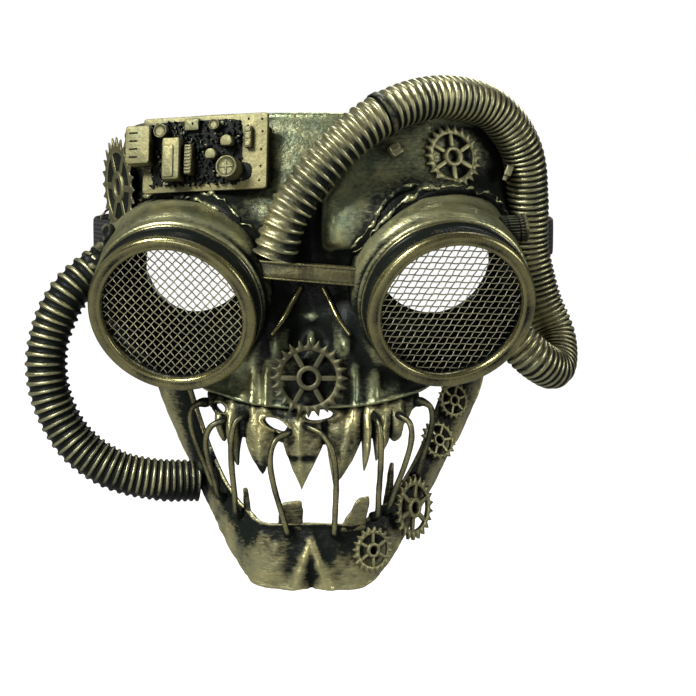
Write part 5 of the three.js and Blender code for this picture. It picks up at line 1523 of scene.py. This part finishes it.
# %% Parts on the board
def can(u, v, radius, tall, vent=False):
    """A round can: a sleeve with a groove near its top, a sunk lid, and perhaps the cross of a vent."""
    rows = np.array([
        [-0.1, 0.97, 0.0], [0.5, 1.0, 0.2], [tall * 0.72, 1.0, 0.35], [tall * 0.78, 0.92, 0.0],
        [tall * 0.84, 1.0, 0.5], [tall - 0.35, 1.0, 0.8], [tall, 0.94, 1.0], [tall, 0.84, 0.9],
        [tall - 0.4, 0.8, 0.4], [tall - 0.4, 0.4, 0.7],
    ])
    local = round_axis(radius * rows[:, [1]], full_turn(40), TOP + rows[:, [0]]) + (u, v, 0)
    shells = [capped(local @ board_axes + board_seat, rows[:, 2])]
    if vent:
        for half_width, half_height in ((radius * 0.66, 0.35), (0.35, radius * 0.66)):
            cross = superellipse(half_width, half_height, 4.0, 20)
            shells.append(on_board(cross, u, v, tall - 0.6, tall - 0.05, 0.15, (0.5, 1.0)))
    return shells


def block(u, v, width, high, tall, ridges=0):
    """A block, with a row of ridges over its top where it has wound or laminated turns."""
    shells = [on_board(superellipse(width / 2, high / 2, 16.0, 64), u, v, -0.1, tall)]
    for k in range(ridges):
        ridge = superellipse(width / 2 - 0.3, 0.3 * high / ridges, 6.0, 16)
        place = v - high / 2 + (k + 0.5) * high / ridges
        shells.append(on_board(ridge, u, place, tall - 0.5, tall + 0.35, 0.2, (0.4, 0.9)))
    return shells


def plug_block():
    """The socket block: a box with four dark slits in its top."""
    u, v, width, high, tall = -27.2, 3.5, 11, 16, 8
    slit = superellipse(2.0, 0.35, 6.0, 16)
    shells = block(u, v, width, high, tall)
    for k in range(4):
        place = v - 5.2 + 3.4 * k
        shells.append(on_board(slit, u - 1.8, place, tall - 0.4, tall + 0.15, 0.05, (-3.0, -3.0)))
    return shells


def flat_sided(u, v, width, tall):
    """A small transistor: a round body with one flat side."""
    angle = np.linspace(-0.25 * np.pi, 1.25 * np.pi, 28)
    body = width / 2 * np.stack([np.cos(angle), np.sin(angle)], -1)
    return [on_board(body, u, v, -0.1, tall, 0.45, (0.1, 1.0))]


BOARD_PARTS = {
    "plug_block": plug_block(),
    "small_capacitor_1": can(-18, 9.4, 3.0, 6),
    "transformer": block(-11.6, -3.2, 7.8, 17.5, 9) + block(-12.6, -4.4, 5.0, 13.5, 9.6),
    "coil_block": block(-4.9, -3.4, 3.4, 12.5, 6.5, 9),
    "chip": block(-5.2, 12, 6.6, 5, 2.4),
    "small_capacitor_2": can(5.6, 11.2, 2.3, 4.5),
    "transistor_1": flat_sided(11.9, 3.6, 5.4, 6),
    "transistor_2": flat_sided(5, -1.6, 5.0, 6),
    "large_capacitor": can(13.6, -7.8, 4.7, 9.5, vent=True),
    "diode": block(20.4, 5.5, 3, 9, 3, 3),
}
for name, shells in BOARD_PARTS.items():
    add_piece(f"board_{name}", shells, board_brass, [name])

# %% [markdown]
# # Clip and strap
# A small clip holds the long hose to the forehead. The strap is black elastic: a flat band that follows the
# wearer's head, with a slightly wavy edge.

# %% Clip
CLIP_X, CLIP_Z, CLIP_WIDTH, CLIP_HEIGHT, CLIP_SPIN = 33.6, 46.0, 5.0, 6.0, 0.5
clip_seat, clip_normal = on_face(CLIP_X, CLIP_Z)
clip_axes = seat_axes(clip_normal, CLIP_SPIN)
clip_block = superellipse(CLIP_WIDTH / 2, CLIP_WIDTH / 2, 10.0, 40)
clip_ridge = superellipse(CLIP_WIDTH / 2 - 0.8, 0.5, 6.0, 20)
# Painted highlight: the clip's block is painted lighter than the other blocks, though it sits in shade.
clip_shells = [stacked(clip_block, 0.1, CLIP_HEIGHT, 0.4, clip_axes, clip_seat, raised_and_lit=(0.5, 1.3)),
               stacked(clip_ridge, CLIP_HEIGHT - 0.4, CLIP_HEIGHT + 0.4, 0.2, clip_axes, clip_seat)]
add_piece("hose_tie_clip", clip_shells, hose_brass, ["hose_clip"])

# %% Strap
STRAP_WIDTH, STRAP_THICK, STRAP_Z = 16.0, 1.6, 2.5
# Half of the strap's way round the head, seen from above.
STRAP_ROUTE = [
    (76.5, 46), (79.6, 56), (80.6, 64.5), (86, 72.5), (97, 79.5), (104, 92), (101.5, 116), (83, 137),
    (46, 149), (0, 153),
]


def head_strap():
    """A flat rounded section carried round the head, whose width waves a little."""
    half = [(x, y, STRAP_Z) for x, y in STRAP_ROUTE]
    path, even = smooth_path(half + [(-x, y, z) for x, y, z in half[-2::-1]], 1.2)
    tangent = unit(np.gradient(path, axis=0))
    out = np.stack([tangent[:, 1], -tangent[:, 0], 0 * even], -1)
    outline = superellipse(STRAP_THICK / 2, STRAP_WIDTH / 2, 5.0, 40)
    width = 1 + 0.012 * np.sin(even * 0.55)
    flat = outline[None, :, 0, None] * out[:, None, :]
    upright = (width[:, None] * outline[None, :, 1])[..., None] * np.array([0, 0, 1.0])
    return capped(path[:, None, :] + flat + upright)


add_piece("elastic_strap", head_strap(), elastic, ["head_strap"])

# %% [markdown]
# # Last measures
# The dressed mask must keep the size of its frame. Both boxes are printed side by side.

# %% Last measures
visual_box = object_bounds()
sizes = {"cad": [[float(v) for v in corner] for corner in cad_box],
         "visual": [[float(v) for v in corner] for corner in visual_box]}
print("boxes in metres:", sizes)
